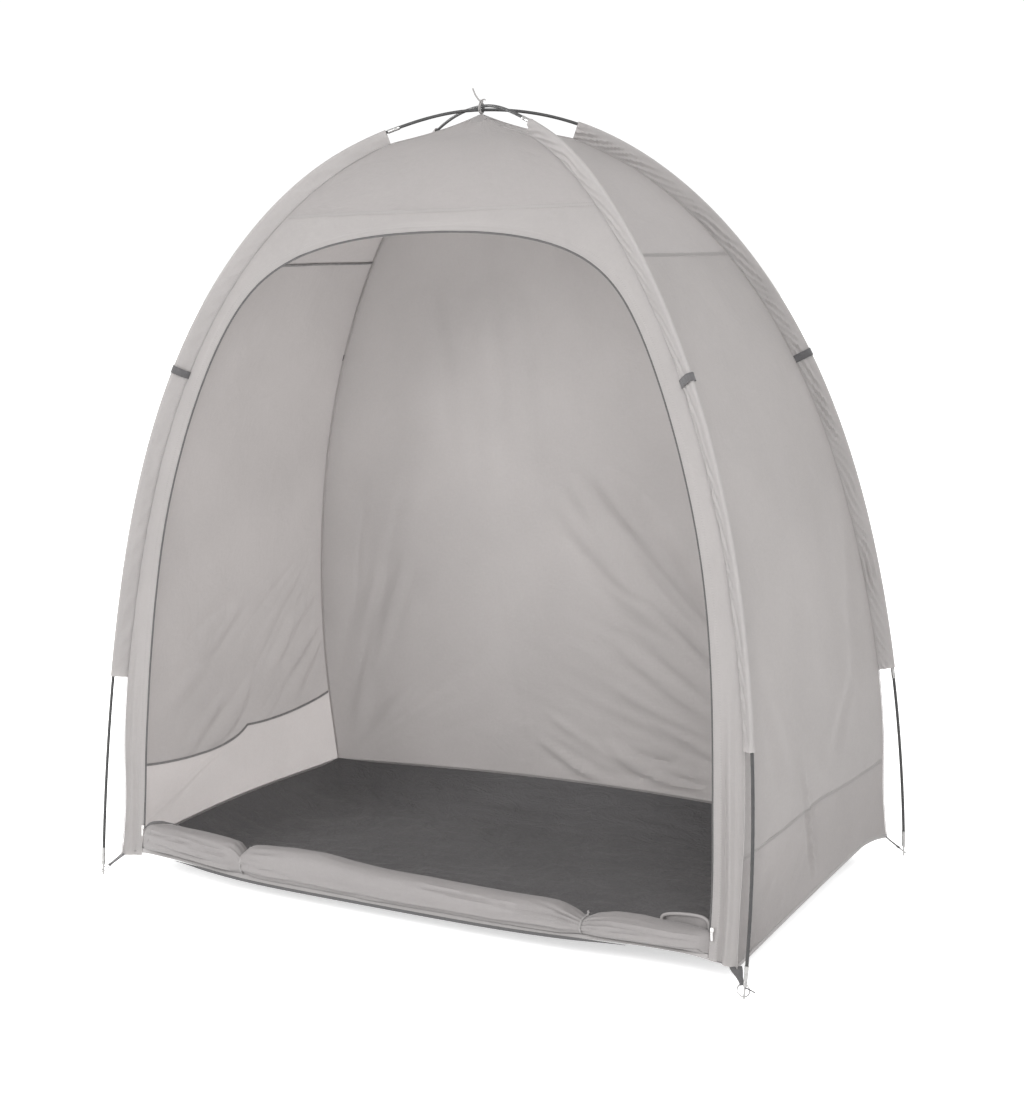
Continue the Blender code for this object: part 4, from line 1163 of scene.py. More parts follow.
RIM_IN = 0.0032  # the rim stands this far inside the walls' outer face
_half_x, _half_y = float(corner_x(HEM_CORNER)), float(corner_y(HEM_CORNER))
_a = np.linspace(-1.0, 1.0, 152)[None, :]
_b = np.linspace(-1.0, 1.0, 92)[:, None]
_a = np.sign(_a) * np.abs(_a) ** 0.9
_b = np.sign(_b) * np.abs(_b) ** 0.86
_to_x = np.where(_a < 0, corner_x(rim("left", _b)), corner_x(rim("right", _b))) - RIM_IN
_to_y = np.where(_b < 0, corner_y(rim("front", _a)), corner_y(rim("back", _a))) - RIM_IN
_gx, _gy = _a * _to_x, _b * _to_y
_rise = np.zeros_like(_gx)
for _edge, _dist, _along in (
    ("left", _to_x + _gx, _b), ("right", _to_x - _gx, _b),
    ("front", _to_y + _gy, _a), ("back", _to_y - _gy, _a),
):
    _f = np.maximum(0.0, 1.0 - _dist / 0.26)
    _rise = np.maximum(_rise, rim(_edge, np.broadcast_to(_along, _gx.shape)) * _f * _f)
_inside = np.minimum(_to_x - np.abs(_gx), _to_y - np.abs(_gy))
_wr = 0.0022 * np.maximum(noise(_gx * 5.0 + noise(_gx * 3, _gy * 9, 7), _gy * 34.0, 111), -0.2)
_wr = _wr + 0.0012 * (creased(_gx * 9.0, _gy * 58.0 + 2.0 * noise(_gx * 4, _gy * 4, 2), 113) - 0.3)
_cornerish = patch(_gx, _gy, -0.62, 0.30, 0.20, 0.20)
_wr = _wr * (1.0 - 0.7 * _cornerish) + 0.0032 * _cornerish * streaks(_gx, _gy, 145.0, 0.020, 0.09, 117)
_wr = _wr + 0.0016 * fractal(_gx * 3.0, _gy * 5.0, 3, 119)
_wr = (2.2 * _wr + 0.0020) * smooth(0.0, 0.06, _inside)
_p = np.stack([_gx, _gy, _rise + 0.0026 + np.maximum(_wr, -0.0014)], -1)
ground = cloth(
    "groundsheet_cloth", _p, FLOOR, thick=0.0009,
    away=lambda q: np.broadcast_to(np.array((0.0, 0.0, 1.0)), q.shape),
)
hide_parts("groundsheet")
# its bound edge looks out under the doorway's sill
_x = np.linspace(-0.715, 0.640, 200)
_hz = hem("front", _x / 0.917) - 0.0026
_path = wall("front", _x, _hz, -0.0106)
_up = wall("front", _x, _hz + 0.003, -0.0106) - _path
_wide = 0.0012 + 0.0062 * smooth(-0.715, -0.60, _x) * (1.0 - smooth(0.47, 0.640, _x))
tape("groundsheet_edge", _path, _up, _wide, 0.0012, FLOOR, cols=2)

# ------------------------------------------------------------ pole sleeves
SLEEVE_OUT, SLEEVE_IN = -0.0070, 0.0392


def section(a, grow=0.0):
    """Sleeve outline: round over the pole, tapering to the corner seam."""
    mid, half = 0.5 * (SLEEVE_OUT + SLEEVE_IN), 0.5 * (SLEEVE_IN - SLEEVE_OUT)
    x = mid + half * np.cos(a)
    f = np.clip(x / SLEEVE_IN, 0.0, 1.0)
    round_part = np.sqrt(np.maximum(0.0066**2 - np.minimum(x, 0.0) ** 2 * (0.0066 / 0.0070) ** 2, 0.0))
    h = round_part * (1.0 - f**1.25) * 0.90 + 0.0009 * smooth(0.0, 0.3, f) * (1 - smooth(0.97, 1.0, f))
    return x + grow * np.cos(a), h + grow * np.abs(np.sin(a)) ** 0.5


def sleeve_points(corner, th, a, grow=0.0, puckers=1.0):
    sx, sy, height = CORNERS[corner]
    point = pole_point(th, sx, sy, height)
    along = pole_tangent(th, sx, sy, height)
    n = inward(th, sx, sy, height)
    b = np.cross(along, n)
    run = np.concatenate([[0.0], np.cumsum(np.linalg.norm(np.diff(point, axis=0), axis=1))])
    x, h = section(a, grow)
    seed = {"front_left": 121, "front_right": 127, "back_left": 133, "back_right": 139}[corner]
    face = np.sign(np.sin(a))[None, :]
    f = np.clip(x / SLEEVE_IN, 0.0, 1.0)[None, :]
    r = run[:, None]
    # the sleeve narrows where its pole runs closer to the wall's corner
    # and widens where the upper pole stands higher over it
    higher = max(height - POLE_H, 0.0) * np.sin(th) * np.maximum(-n[..., 2], 0.0)
    x = np.where(x[None, :] > 0, x[None, :] * (1.0 + (higher - crown_sag(th, sx, sy)) / CORNER_IN)[:, None], x[None, :])
    lean = {"front_left": 0.9, "front_right": 3.0, "back_left": 1.8, "back_right": 2.1}[corner]
    wave = {"front_left": 0.060, "front_right": 0.080, "back_left": 0.046, "back_right": 0.050}[corner]
    deep = {"front_left": 0.0008, "front_right": 0.0028, "back_left": 0.0022, "back_right": 0.0027}[corner]
    phase = (r + face * 0.011 - x * lean * 1.6) / wave + 0.9 * noise(r * 9.0, face, seed)
    fold = np.sin(2 * math.pi * phase)
    fold = np.sign(fold) * np.abs(fold) ** 0.8
    size = deep * (0.85 + 0.30 * noise(r * 7.0, 0.3 + face, seed + 1)) * puckers
    swell = 0.0011 * noise(r * 12.0, 1.7 + face, seed + 2) + 0.0006 * noise(r * 30.0, 0.7 + face, seed + 3)
    body = smooth(0.0, 0.45, f) * (1.0 - smooth(0.80, 1.0, f))
    h = h[None, :] + body * (fold * size + swell + 0.0007)
    if corner == "front_right":
        # a pleat stands up along the lower half
        h = h + 0.0022 * np.exp(-(((f - 0.60) / 0.075) ** 2)) * (1.0 - smooth(1.28, 1.42, point[:, 2:]))
    # folded hem at both mouths
    ends = np.minimum(r, run[-1] - r)
    h = h + 0.0005 * (1.0 - smooth(0.011, 0.0135, ends)) * np.abs(np.sin(a))[None, :]
    h = h * (1.0 + 0.30 * (1.0 - smooth(0.0, 0.030, ends)))
    return point[:, None] + n[:, None] * x[..., None] + b[:, None] * (face * np.maximum(h, 0.0004))[..., None]


def even_theta(corner, first, last, step):
    sx, sy, height = CORNERS[corner]
    th = np.linspace(first, last, 4000)
    p = pole_point(th, sx, sy, height)
    run = np.concatenate([[0.0], np.cumsum(np.linalg.norm(np.diff(p, axis=0), axis=1))])
    count = int(round(run[-1] / step))
    return np.interp(np.linspace(0, run[-1], count + 1), run, th)


SEC = np.linspace(0, 2 * math.pi, 34, endpoint=False) + math.pi / 34
SLEEVES, SLEEVE_COLS = {}, (3, 30)
for _name in CORNERS:
    _t = even_theta(_name, TH_LOW, TH_TOP, 0.0085)
    _p = sleeve_points(_name, _t, SEC)
    SLEEVES[_name] = _p
    made = cloth(
        "sleeve_cloth_" + _name, _p, SLEEVE, thick=0.0004,
        away=lambda q: q - q.mean(1, keepdims=True), wrap=True, turn=True,
    )
    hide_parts("sleeve_" + _name)
    girth = float(np.linalg.norm(np.diff(_p, axis=1), axis=-1).sum(1).mean())
    girth += float(np.linalg.norm(_p[:, 0] - _p[:, -1], axis=-1).mean())
    length = float(np.linalg.norm(np.diff(_p, axis=0), axis=-1).sum(0).mean())

# bands round the sleeves
for _name in CORNERS:
    sx, sy, height = CORNERS[_name]
    mid = theta_at(BAND_Z + {"front_right": -0.013, "back_right": 0.007}.get(_name, 0.0))
    span = 0.0200 / np.linalg.norm(pole_point(np.array(mid + 0.01), sx, sy, height) - pole_point(np.array(mid), sx, sy, height)) * 0.01
    _t = mid + np.linspace(-0.5, 0.5, 7) * span
    a = np.linspace(0, 2 * math.pi, 40, endpoint=False) + math.pi / 40
    p = sleeve_points(_name, _t, a, grow=0.0022, puckers=0.0)
    parts = []
    made = cloth(
        "band_webbing_" + _name, p, WEB, thick=0.0011,
        away=lambda q: q - q.mean(1, keepdims=True), wrap=True, turn=True,
    )
    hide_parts("band_" + _name)

# ------------------------------------------------------------ poles and metal
for _name, _first, _last, _h in (
    ("pole_rod_lower", "front_left", "back_right", POLE_H),
    ("pole_rod_upper", "front_right", "back_left", UPPER_H),
):
    _t = np.concatenate([even_theta(_first, TH_TIP, math.pi / 2, 0.010)])
    up = pole_point(_t, CORNERS[_first][0], CORNERS[_first][1], _h)
    down = pole_point(_t[:-1], CORNERS[_last][0], CORNERS[_last][1], _h)
    path = np.concatenate([up, down[::-1]])
    made = tube(_name, path, POLE_R, ROD, sides=20)
    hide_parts("pole_lower" if "lower" in _name else "pole_upper")


def turned(name, origin, along, profile, look, sides=28, replaced=()):
    """A turned piece from (radius, height) pairs along an axis."""
    profile = np.asarray(profile, float)
    along = unit(np.asarray(along, float))
    side = np.cross(along, (0.0, 1.0, 0.0))
    side = side / np.linalg.norm(side)
    other = np.cross(along, side)
    ang = np.linspace(0, 2 * math.pi, sides, endpoint=False)
    ring = side[None] * np.cos(ang)[:, None] + other[None] * np.sin(ang)[:, None]
    rows = len(profile)
    p = np.asarray(origin, float) + along * profile[:, 1][:, None, None] + ring[None] * profile[:, 0][:, None, None]
    rr, cc = np.meshgrid(np.arange(rows - 1), np.arange(sides), indexing="ij")
    rr, cc = rr.ravel(), cc.ravel()
    c1 = (cc + 1) % sides
    quads = np.stack([rr * sides + cc, rr * sides + c1, (rr + 1) * sides + c1, (rr + 1) * sides + cc], 1)
    uvs = np.stack(
        [np.stack([cc, rr], -1), np.stack([cc + 1, rr], -1), np.stack([cc + 1, rr + 1], -1), np.stack([cc, rr + 1], -1)], 1
    ) * 0.001
    made = mesh_from(name, p.reshape(-1, 3), quads, uvs, look, 35.0)
    if replaced:
        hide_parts(*replaced)
    return made


def chord(corner, th, step=0.004):
    """Point and direction of a pole at one angle."""
    sx, sy, height = CORNERS[corner]
    return pole_point(np.array(th), sx, sy, height), pole_tangent(np.array(th), sx, sy, height)


def bead(radius, start, end, lip=0.0004, inner=POLE_R + 0.0002):
    """Profile of a short metal tube with a rolled lip and a crimp."""
    mid = 0.5 * (start + end)
    return [
        (inner, start), (radius, start), (radius + lip, start + 0.0006), (radius + lip, start + 0.0018),
        (radius, start + 0.0026), (radius, mid - 0.0016), (radius - 0.0004, mid - 0.0006),
        (radius - 0.0004, mid + 0.0006), (radius, mid + 0.0016), (radius, end - 0.0008),
        (radius - 0.0004, end), (inner, end), (inner, start),
    ]


for _name in ("front_left", "front_right"):
    sx, sy, height = CORNERS[_name]
    crown = TH_TOP + (math.pi / 2 - TH_TOP) * 0.25
    a = pole_point(np.array(TH_TOP), sx, sy, height)
    b = pole_point(np.array(crown), sx, sy, height)
    c0, c1 = a + (b - a) * 0.08, a + (b - a) * 0.60
    long = float(np.linalg.norm(c1 - c0))
    turned("ferrule_metal_crown_" + _name, c0, b - a, bead(POLE_R + 0.0012, 0.0, long), STEEL,
           replaced=["ferrule_crown_" + _name])
leg3 = TH_TIP + (TH_LOW - TH_TIP) * 0.75
a, b = (pole_point(np.array(th), 1, 1, POLE_H) for th in (leg3, TH_LOW))
c0, c1 = a + (b - a) * 0.74, a + (b - a) * 0.985
turned("ferrule_metal_leg", c0, b - a, bead(POLE_R + 0.0012, 0.0, float(np.linalg.norm(c1 - c0))), STEEL,
       replaced=["ferrule_leg_back_right"])


def foot_axis(corner):
    sx, sy, height = CORNERS[corner]
    top = pole_point(np.array(TH_TIP), sx, sy, height)
    low = pole_point(np.array(0.0), sx, sy, height)
    return low, unit(top - low), float(np.linalg.norm(top - low))


def ring_frame(corner):
    sx, sy, _ = CORNERS[corner]
    low, along, _ = foot_axis(corner)
    out = unit(np.array((sx * 0.70, sy * 0.71, 0.0)))
    side = unit(np.cross((0.0, 0.0, 1.0), out))
    lean = math.radians({"front_left": 34, "front_right": 56}.get(corner, 42))
    up = unit(np.array((0, 0, math.sin(lean))) - out * math.cos(lean))
    # the strap draws the ring toward the tent until it touches the pin
    return low + along * 0.0158 - out * 0.0060 + np.array((0.0, 0.0, 0.0025)), side, up, out


for _name in CORNERS:
    low, along, length = foot_axis(_name)
    top = length - 0.0004
    profile = [
        (0.00005, 0.0001), (0.0011, 0.0001), (0.0017, 0.0008), (0.0021, 0.0022), (0.0023, 0.0040),
        (0.0023, 0.0245), (0.0027, 0.0262), (0.0038, 0.0288), (0.0045, 0.0305), (0.0047, 0.0320),
        (0.0047, 0.0400), (0.0043, 0.0408), (0.0043, 0.0416), (0.0047, 0.0424), (0.0047, 0.0600),
        (0.0044, 0.0608), (0.0044, 0.0616), (0.0048, 0.0624), (0.0048, top - 0.0016), (0.0052, top - 0.0011),
        (0.0052, top - 0.0002), (0.0049, top), (0.00005, top),
    ]
    turned("foot_pin_" + _name, low, along, profile, STEEL, replaced=["foot_tip_" + _name])
    centre, side, up, out = ring_frame(_name)
    ang = np.linspace(0, 2 * math.pi, 64, endpoint=False)
    path = centre + side * RING_R * np.cos(ang)[:, None] + up * RING_R * np.sin(ang)[:, None]
    made = tube("ring_wire_" + _name, path, RING_WIRE * 0.92, STEEL, sides=14, closed=True,
                first=np.cross(side, up))
    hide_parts("foot_ring_" + _name)
    # webbing: down from the groundsheet's corner, round the ring and back up
    sx, sy, _ = CORNERS[_name]
    tip = HEM_CORNER + (BACK_TIP if sy > 0 else 0.0)
    start = np.array((sx * (_half_x - 0.0042), sy * (_half_y - 0.0042), tip + 0.0045))
    end = centre + up * RING_R
    run = unit(end - start)
    thick = unit(np.cross(run, side))
    turn = np.linspace(0, 1, 26)
    gone = start + (end - start) * np.linspace(0, 0.90, 14)[:, None] + thick * 0.0009 * smooth(0.2, 1.0, np.linspace(0, 1, 14))[:, None]
    back = start + (end - start) * np.linspace(0.90, 0.12, 12)[:, None] - thick * 0.0009 * (
        1.0 - 0.75 * smooth(0.2, 1.0, np.linspace(0, 1, 12))
    )[:, None]
    phi = np.linspace(math.pi / 2, -math.pi / 2, 12)[1:-1, None]
    loop = end + thick * np.sin(phi) * 0.0022 + run * np.cos(phi) * 0.0027
    path, _r = resample(np.concatenate([gone, loop, back]), 0.0018)
    k = np.linspace(0, 1, len(path))
    width = 0.0105 + 0.0190 * (1 - smooth(0.0, 0.46, k)) + 0.012 * smooth(0.60, 1.0, k)
    made = tape("strap_webbing_" + _name, path, np.broadcast_to(side, path.shape), width, 0.0021, WEB, cols=6)
    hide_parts("corner_strap_" + _name)

# ------------------------------------------------------------ apex tie
MID = POLE_H + POLE_R + CROSS_GAP / 2
ang = np.linspace(0, 2 * math.pi, 60, endpoint=False)
loop = np.stack([-0.0021 + 0.0004 * np.sin(3 * ang), 0.0094 * np.cos(ang), MID + 0.0130 * np.sin(ang)], 1)
parts = [tube_parts(loop, 0.0017, 12, closed=True)]
loop2 = np.stack([0.0021 + 0.0004 * np.sin(2 * ang), 0.0098 * np.cos(ang), MID + 0.0132 * np.sin(ang)], 1)
parts.append(tube_parts(loop2, 0.0017, 12, closed=True))
# overhand knot on top
t = np.linspace(0, 2 * math.pi, 90, endpoint=False)
knot = np.stack([np.sin(t) + 2 * np.sin(2 * t), np.cos(t) - 2 * np.cos(2 * t), -np.sin(3 * t)], 1)
knot = knot * (0.00140, 0.00130, 0.0022) + (0.0, 0.0, MID + 0.0176)
parts.append(tube_parts(knot, 0.0018, 12, closed=True))
end = np.array([(0.0, 0.0, 0.0150), (-0.006, -0.003, 0.022), (-0.013, -0.007, 0.034), (-0.018, -0.010, 0.050)])
kk = np.linspace(0, 3, 40)
end = np.stack([np.interp(kk, range(4), end[:, i]) for i in range(3)], 1)
for _ in range(12):
    end[1:-1] = 0.5 * end[1:-1] + 0.25 * (end[:-2] + end[2:])
end[:, 2] += MID
parts.append(tube_parts(end, 0.0020, 12))
stub = np.stack([np.linspace(0.001, 0.011, 16), np.linspace(0.0, 0.003, 16), MID + 0.018 + 0.004 * np.sin(np.linspace(0, 2.6, 16))], 1)
parts.append(tube_parts(stub, 0.0017, 12))
# two strands down to the peak of the cloth
for dx in (-0.0021, 0.0021):
    strand = np.stack([np.linspace(dx, dx * 0.6, 14), np.full(14, 0.001 * np.sign(dx)), np.linspace(MID - 0.0125, PEAK - 0.001, 14)], 1)
    parts.append(tube_parts(strand, 0.0017, 10))
v, q, u = join_parts(parts)
made = mesh_from("apex_cord", v, q, u, CORD, 60.0)
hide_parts("apex_tie")

# ------------------------------------------------------------ rolled door
# height of the roll's top along the doorway
ROLL_CREST = (
    (-0.860, 0.116), (-0.842, 0.130), (-0.822, 0.145), (-0.790, 0.151), (-0.720, 0.153), (-0.620, 0.148),
    (-0.550, 0.143), (-0.520, 0.139), (-0.508, 0.128), (TIES[0], 0.106), (-0.484, 0.126), (-0.465, 0.137),
    (-0.430, 0.141), (-0.330, 0.149),
    (-0.240, 0.150), (-0.150, 0.139), (-0.050, 0.134), (0.150, 0.132), (0.300, 0.129), (0.400, 0.131),
    (0.450, 0.129), (0.490, 0.116), (TIES[1], 0.100), (0.548, 0.115), (0.600, 0.127), (0.680, 0.128),
    (0.790, 0.125), (0.835, 0.121), (0.860, 0.112),
)
_xs = np.linspace(-0.90, 0.90, 1801)
_crest = np.interp(_xs, [x for x, _ in ROLL_CREST], [z for _, z in ROLL_CREST])
_bell = np.exp(-((np.arange(-20, 21) / 6.0) ** 2))
_crest = np.convolve(np.pad(_crest, 20, mode="edge"), _bell / _bell.sum(), "valid")


def near_tie(x, reach):
    return np.max([np.exp(-(((x - w) / reach) ** 2)) for w in TIES], axis=0)


def roll_size(x):
    """Centre height, half depth and half height of the rolled door at a place across the doorway."""
    x = np.asarray(x, float)
    low = hem("front", x / 0.917) + SILL_H + 0.0006 + 0.0016 * near_tie(x, 0.03)
    high = np.interp(x, _xs, _crest)
    # both ends lie flat where the door is still zipped to the jambs
    f = np.clip((np.abs(x) - 0.745) / 0.100, 0.0, 1.0)
    deep = (0.040 - 0.014 * near_tie(x, 0.035)) * np.sqrt(1.0 - f**2 * 0.985)
    return 0.5 * (low + high), deep, 0.5 * (high - low)


ROLL_Y = -float(corner_y(0.10)) + 0.004


def squared(v, power=0.86):
    return np.sign(v) * np.abs(v) ** power


# folds along the roll: start, end, place round it at both (0 is under it, pi on top), width, depth
ROLL_FOLDS = (
    (-0.825, -0.500, 2.12, 1.72, 0.13, 0.0036), (-0.830, -0.600, 1.56, 0.95, 0.12, 0.0034),
    (-0.740, -0.500, 1.02, 1.15, 0.20, 0.0046), (-0.700, -0.520, 2.55, 2.15, 0.10, 0.0016),
    (-0.780, -0.560, 1.84, 1.42, 0.08, 0.0018), (-0.640, -0.500, 1.45, 1.46, 0.10, 0.0024),
    (-0.494, -0.380, 1.80, 1.66, 0.11, 0.0030), (-0.494, -0.290, 1.50, 1.16, 0.12, 0.0028),
    (-0.490, -0.340, 2.35, 2.60, 0.16, 0.0022), (-0.480, 0.500, 0.78, 0.84, 0.20, 0.0042),
    (-0.300, 0.240, 1.34, 1.30, 0.22, 0.0014), (0.060, 0.518, 2.36, 1.86, 0.15, 0.0034),
    (0.220, 0.518, 1.36, 1.48, 0.14, 0.0024), (0.380, 0.518, 2.80, 2.30, 0.13, 0.0020),
    (0.526, 0.850, 2.02, 2.06, 0.11, 0.0028), (0.540, 0.700, 2.50, 2.62, 0.12, 0.0016),
    (0.590, 0.830, 1.22, 1.72, 0.26, 0.0044), (0.526, 0.640, 1.50, 1.40, 0.10, 0.0022),
    (0.600, 0.850, 0.86, 1.02, 0.14, 0.0024), (-0.700, -0.100, 4.20, 4.60, 0.25, 0.0040),
    (-0.050, 0.700, 4.50, 4.00, 0.25, 0.0040), (-0.450, 0.450, 5.30, 5.10, 0.22, 0.0036),
    (0.560, 0.820, 3.70, 4.10, 0.20, 0.0028), (-0.800, -0.540, 3.60, 3.90, 0.20, 0.0028),
)


def roll_surface(x, phi, r, grow=0.0):
    """phi runs from under the roll round its front, over its top and down its back."""
    cz, hy, hz = roll_size(x)
    y = -hy * r * squared(np.sin(phi))
    z = -hz * r * squared(np.cos(phi))
    turn = np.mod(phi, 2 * math.pi)
    relief = np.zeros_like(y)
    for k, (x0, x1, a0, a1, width, depth) in enumerate(ROLL_FOLDS):
        f = np.clip((x - x0) / (x1 - x0), 0.0, 1.0)
        near = (turn - (a0 + (a1 - a0) * f) - 0.05 * noise(x * 11.0, 1.3 * k, 151)) / width
        env = smooth(x0 - 0.012, x0 + 0.045, x) * (1.0 - smooth(x1 - 0.045, x1 + 0.012, x))
        relief = relief - 1.35 * depth * env * (np.exp(-(near**2)) - 0.42 * np.exp(-(((np.abs(near) - 1.7) / 0.8) ** 2)))
    fine = creased(x * 3.4 + 3.0, turn * 5.2 - 0.9 * x, 155)
    relief = relief - 0.0011 * fine**1.8 * (0.5 + 0.8 * near_tie(x, 0.075))
    relief = relief + 0.0013 * fractal(x * 6.0, turn * 2.1, 3, 158)
    gather = 0.0016 * np.sin(turn * 12.0 + 2.2 * noise(x * 9.0, turn * 1.3, 160)) * near_tie(x, 0.050)
    relief = (relief + gather * (1.0 - 0.7 * near_tie(x, 0.006))) * r**3 + grow
    # keeps the underside on the sill and the flat ends smooth
    relief = relief * (0.25 + 0.75 * smooth(0.05, 0.6, turn) * (1 - smooth(5.7, 6.2, turn)))
    relief = relief * (1.0 - 0.8 * smooth(0.815, 0.842, np.abs(x)))
    out = unit(np.stack([np.zeros_like(y), y / np.maximum(hy, 1e-6), z / np.maximum(hz, 1e-6)], -1) + 1e-9)
    flush = smooth(0.770, 0.842, np.abs(x))
    middle = ROLL_Y + (0.0084 - corner_y(cz + z) - ROLL_Y) * flush
    return np.stack([x + 0 * y, middle + y, cz + z], -1) + out * relief[..., None]


TURNS = 12.4
_outer_turns = np.linspace(0.0, 2.2 * 2 * math.pi, 100)
_inner_turns = np.linspace(2.2 * 2 * math.pi, TURNS * 2 * math.pi, 92)[1:]
PHI = np.concatenate([_outer_turns, _inner_turns]) + 0.12
_r = 1.0 - 0.94 * (PHI - PHI[0]) / (PHI[-1] - PHI[0])
# cloth length from the sill up to each column sets how wide the door is there
_mid = roll_surface(np.zeros_like(PHI), PHI, _r)
_up = np.concatenate([[0.0], np.cumsum(np.linalg.norm(np.diff(_mid, axis=0), axis=1))])
_half_w = np.minimum(door_half(0.07 + np.minimum(_up, 1.615)) - 0.026, 0.800)
_half_w = np.where(PHI < 6.5, ROLL_HALF, ROLL_HALF + (_half_w - ROLL_HALF) * smooth(6.3, 8.2, PHI))
_half_w = np.maximum(_half_w, 0.30)
_s = np.linspace(-1.0, 1.0, 132)
_s = _s + 0.0035 * np.sin(_s * 2 * math.pi)
_x = _s[:, None] * _half_w[None, :]
_p = roll_surface(_x, np.broadcast_to(PHI, _x.shape), np.broadcast_to(_r, _x.shape))
ROLLED = _p
_axis = lambda q: q - np.stack([q[..., 0], np.full(q.shape[:2], ROLL_Y), roll_size(q[..., 0])[0]], -1)
rolled = cloth("door_roll_cloth", _p, DOOR, thick=0.0004, away=_axis)
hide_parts("door_roll")

# the door's own half of the zip runs along both its edges, over the roll and down behind it
_parts = []
_from = int(np.searchsorted(PHI, 3.5))
for _row, _sign in ((0, -1.0), (-1, 1.0)):
    _edge, _ = resample(_p[_row, _from:120] + (_sign * 0.0010, 0.0, 0.0), 0.004)
    _parts.append(tube_parts(_edge, 0.0014, 8))
# at the left end its tape stands up over the roll's top before it turns in
_k = np.linspace(0.0, 1.0, 46)
_ex = -0.8475 + 0.125 * _k
_ez = np.interp(_ex, _xs, _crest) + 0.0030 * np.sin(math.pi * np.minimum(_k * 1.6, 1.0)) - 0.004 * smooth(0.75, 1.0, _k)
_ey = -corner_y(0.135) - 0.001 + 0.014 * smooth(0.05, 0.7, _k)
_edge = np.stack([_ex, _ey, _ez], 1)
for _ in range(6):
    _edge[1:-1] = 0.5 * _edge[1:-1] + 0.25 * (_edge[:-2] + _edge[2:])
_across = np.broadcast_to(np.array((0.10, 0.45, 0.90)), _edge.shape)
_parts.append(band_parts(_edge, _across, 0.0030 + 0.0050 * np.sin(math.pi * np.minimum(_k * 1.35, 1.0)), 0.0016, cols=3))
_v, _q, _u = join_parts(_parts)
_made = mesh_from("door_edge_zip", _v, _q, _u, ZIP, 60.0)

# where the cloth turned back on itself at the right end it stands up in a loop
_a = np.linspace(0.0, math.pi, 72)[None, :]
_b = np.linspace(0.0, 1.0, 18)[:, None]
_xc, _hw = 0.776, 0.060
_lx = _xc - _hw * squared(np.cos(_a), 0.72) * (1.0 - 0.05 * _b)
_foot = np.interp(_lx, [0.70, 0.78, 0.86], [0.121, 0.119, 0.115])
_rise = (0.0285 + 0.0070 * (_lx - _xc) / _hw) * np.sin(_a) ** 0.42
_lz = _foot + _rise * (1.0 - 0.96 * _b) + 0.0008 * np.sin(_a * 7.0 + 1.0) * _b
_ly = -0.4800 + 0.007 * np.sin(_b * math.pi * 0.5) + 0.0012 * np.sin(_a * 5.0) * _b
_q3 = np.stack(np.broadcast_arrays(_lx, _ly, _lz), -1)
_made = cloth("door_roll_fold", _q3, DOOR, thick=0.0005)
tube("door_roll_fold_hem", _q3[0] + (0.0, -0.0006, -0.0008), 0.0040, DOOR, sides=12, flat=0.8)


# ------------------------------------------------------------ zip round the doorway
def out_flat(flat, distance):
    """A line beside another on the flat, on its left."""
    t = unit(np.gradient(flat, axis=0))
    return flat + np.stack([-t[:, 1], t[:, 0]], 1) * distance


_open = DOOR_FLAT[:, 1] > np.where(DOOR_FLAT[:, 0] < 0, 0.128, 0.120)
_flat, _ = resample(DOOR_FLAT[_open], 0.004)
_coil_flat = out_flat(_flat, -0.0036)
_coil = wall("front", _coil_flat[:, 0], _coil_flat[:, 1], 0.0018)
_tape_flat = out_flat(_flat, -0.0004)
_tape = wall("front", _tape_flat[:, 0], _tape_flat[:, 1], 0.0021)
_inner_flat = out_flat(_flat, -0.0040)
_inner = wall("front", _inner_flat[:, 0], _inner_flat[:, 1], 0.0021)
_zip_tape = band_parts(_tape, _inner - _tape, 0.0088, 0.0007, cols=2)
# coil: a small transverse bar for each turn of the plastic filament
_bars, _ = resample(_coil, 0.0029)
_t = tangents(_bars)
_n = np.broadcast_to(np.array((0.0, -1.0, 0.0)), _bars.shape)
_b = unit(np.cross(_t, _n))
_n = unit(np.cross(_b, _t))
_ring = np.linspace(0, 2 * math.pi, 6, endpoint=False)
_shape = _b[:, None] * (np.cos(_ring) * 0.0019)[None, :, None] + _n[:, None] * (np.sin(_ring) * 0.0016)[None, :, None]
_v = np.concatenate(
    [(_bars[:, None] - _t[:, None] * 0.00062 + _shape * 0.86), (_bars[:, None] + _t[:, None] * 0.00062 + _shape * 0.86)], 1
)
_k = np.arange(6)
_sides = np.stack([_k, (_k + 1) % 6, (_k + 1) % 6 + 6, _k + 6], 1)
_ends = np.array([(0, 5, 2, 1), (5, 4, 3, 2), (6, 7, 8, 11), (11, 8, 9, 10)])
_f = np.concatenate([_sides, _ends])
_faces = (_f[None] + 12 * np.arange(len(_bars))[:, None, None]).reshape(-1, 4)
_coil_part = (_v.reshape(-1, 3), _faces, np.zeros((len(_faces), 4, 2)))
_cord_part = tube_parts(_coil, 0.0011, 8)
_v, _q, _u = join_parts([_zip_tape, _coil_part, _cord_part])
zip_made = mesh_from("door_zip_coil", _v, _q, _u, ZIP, 40.0)
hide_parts("door_zip")


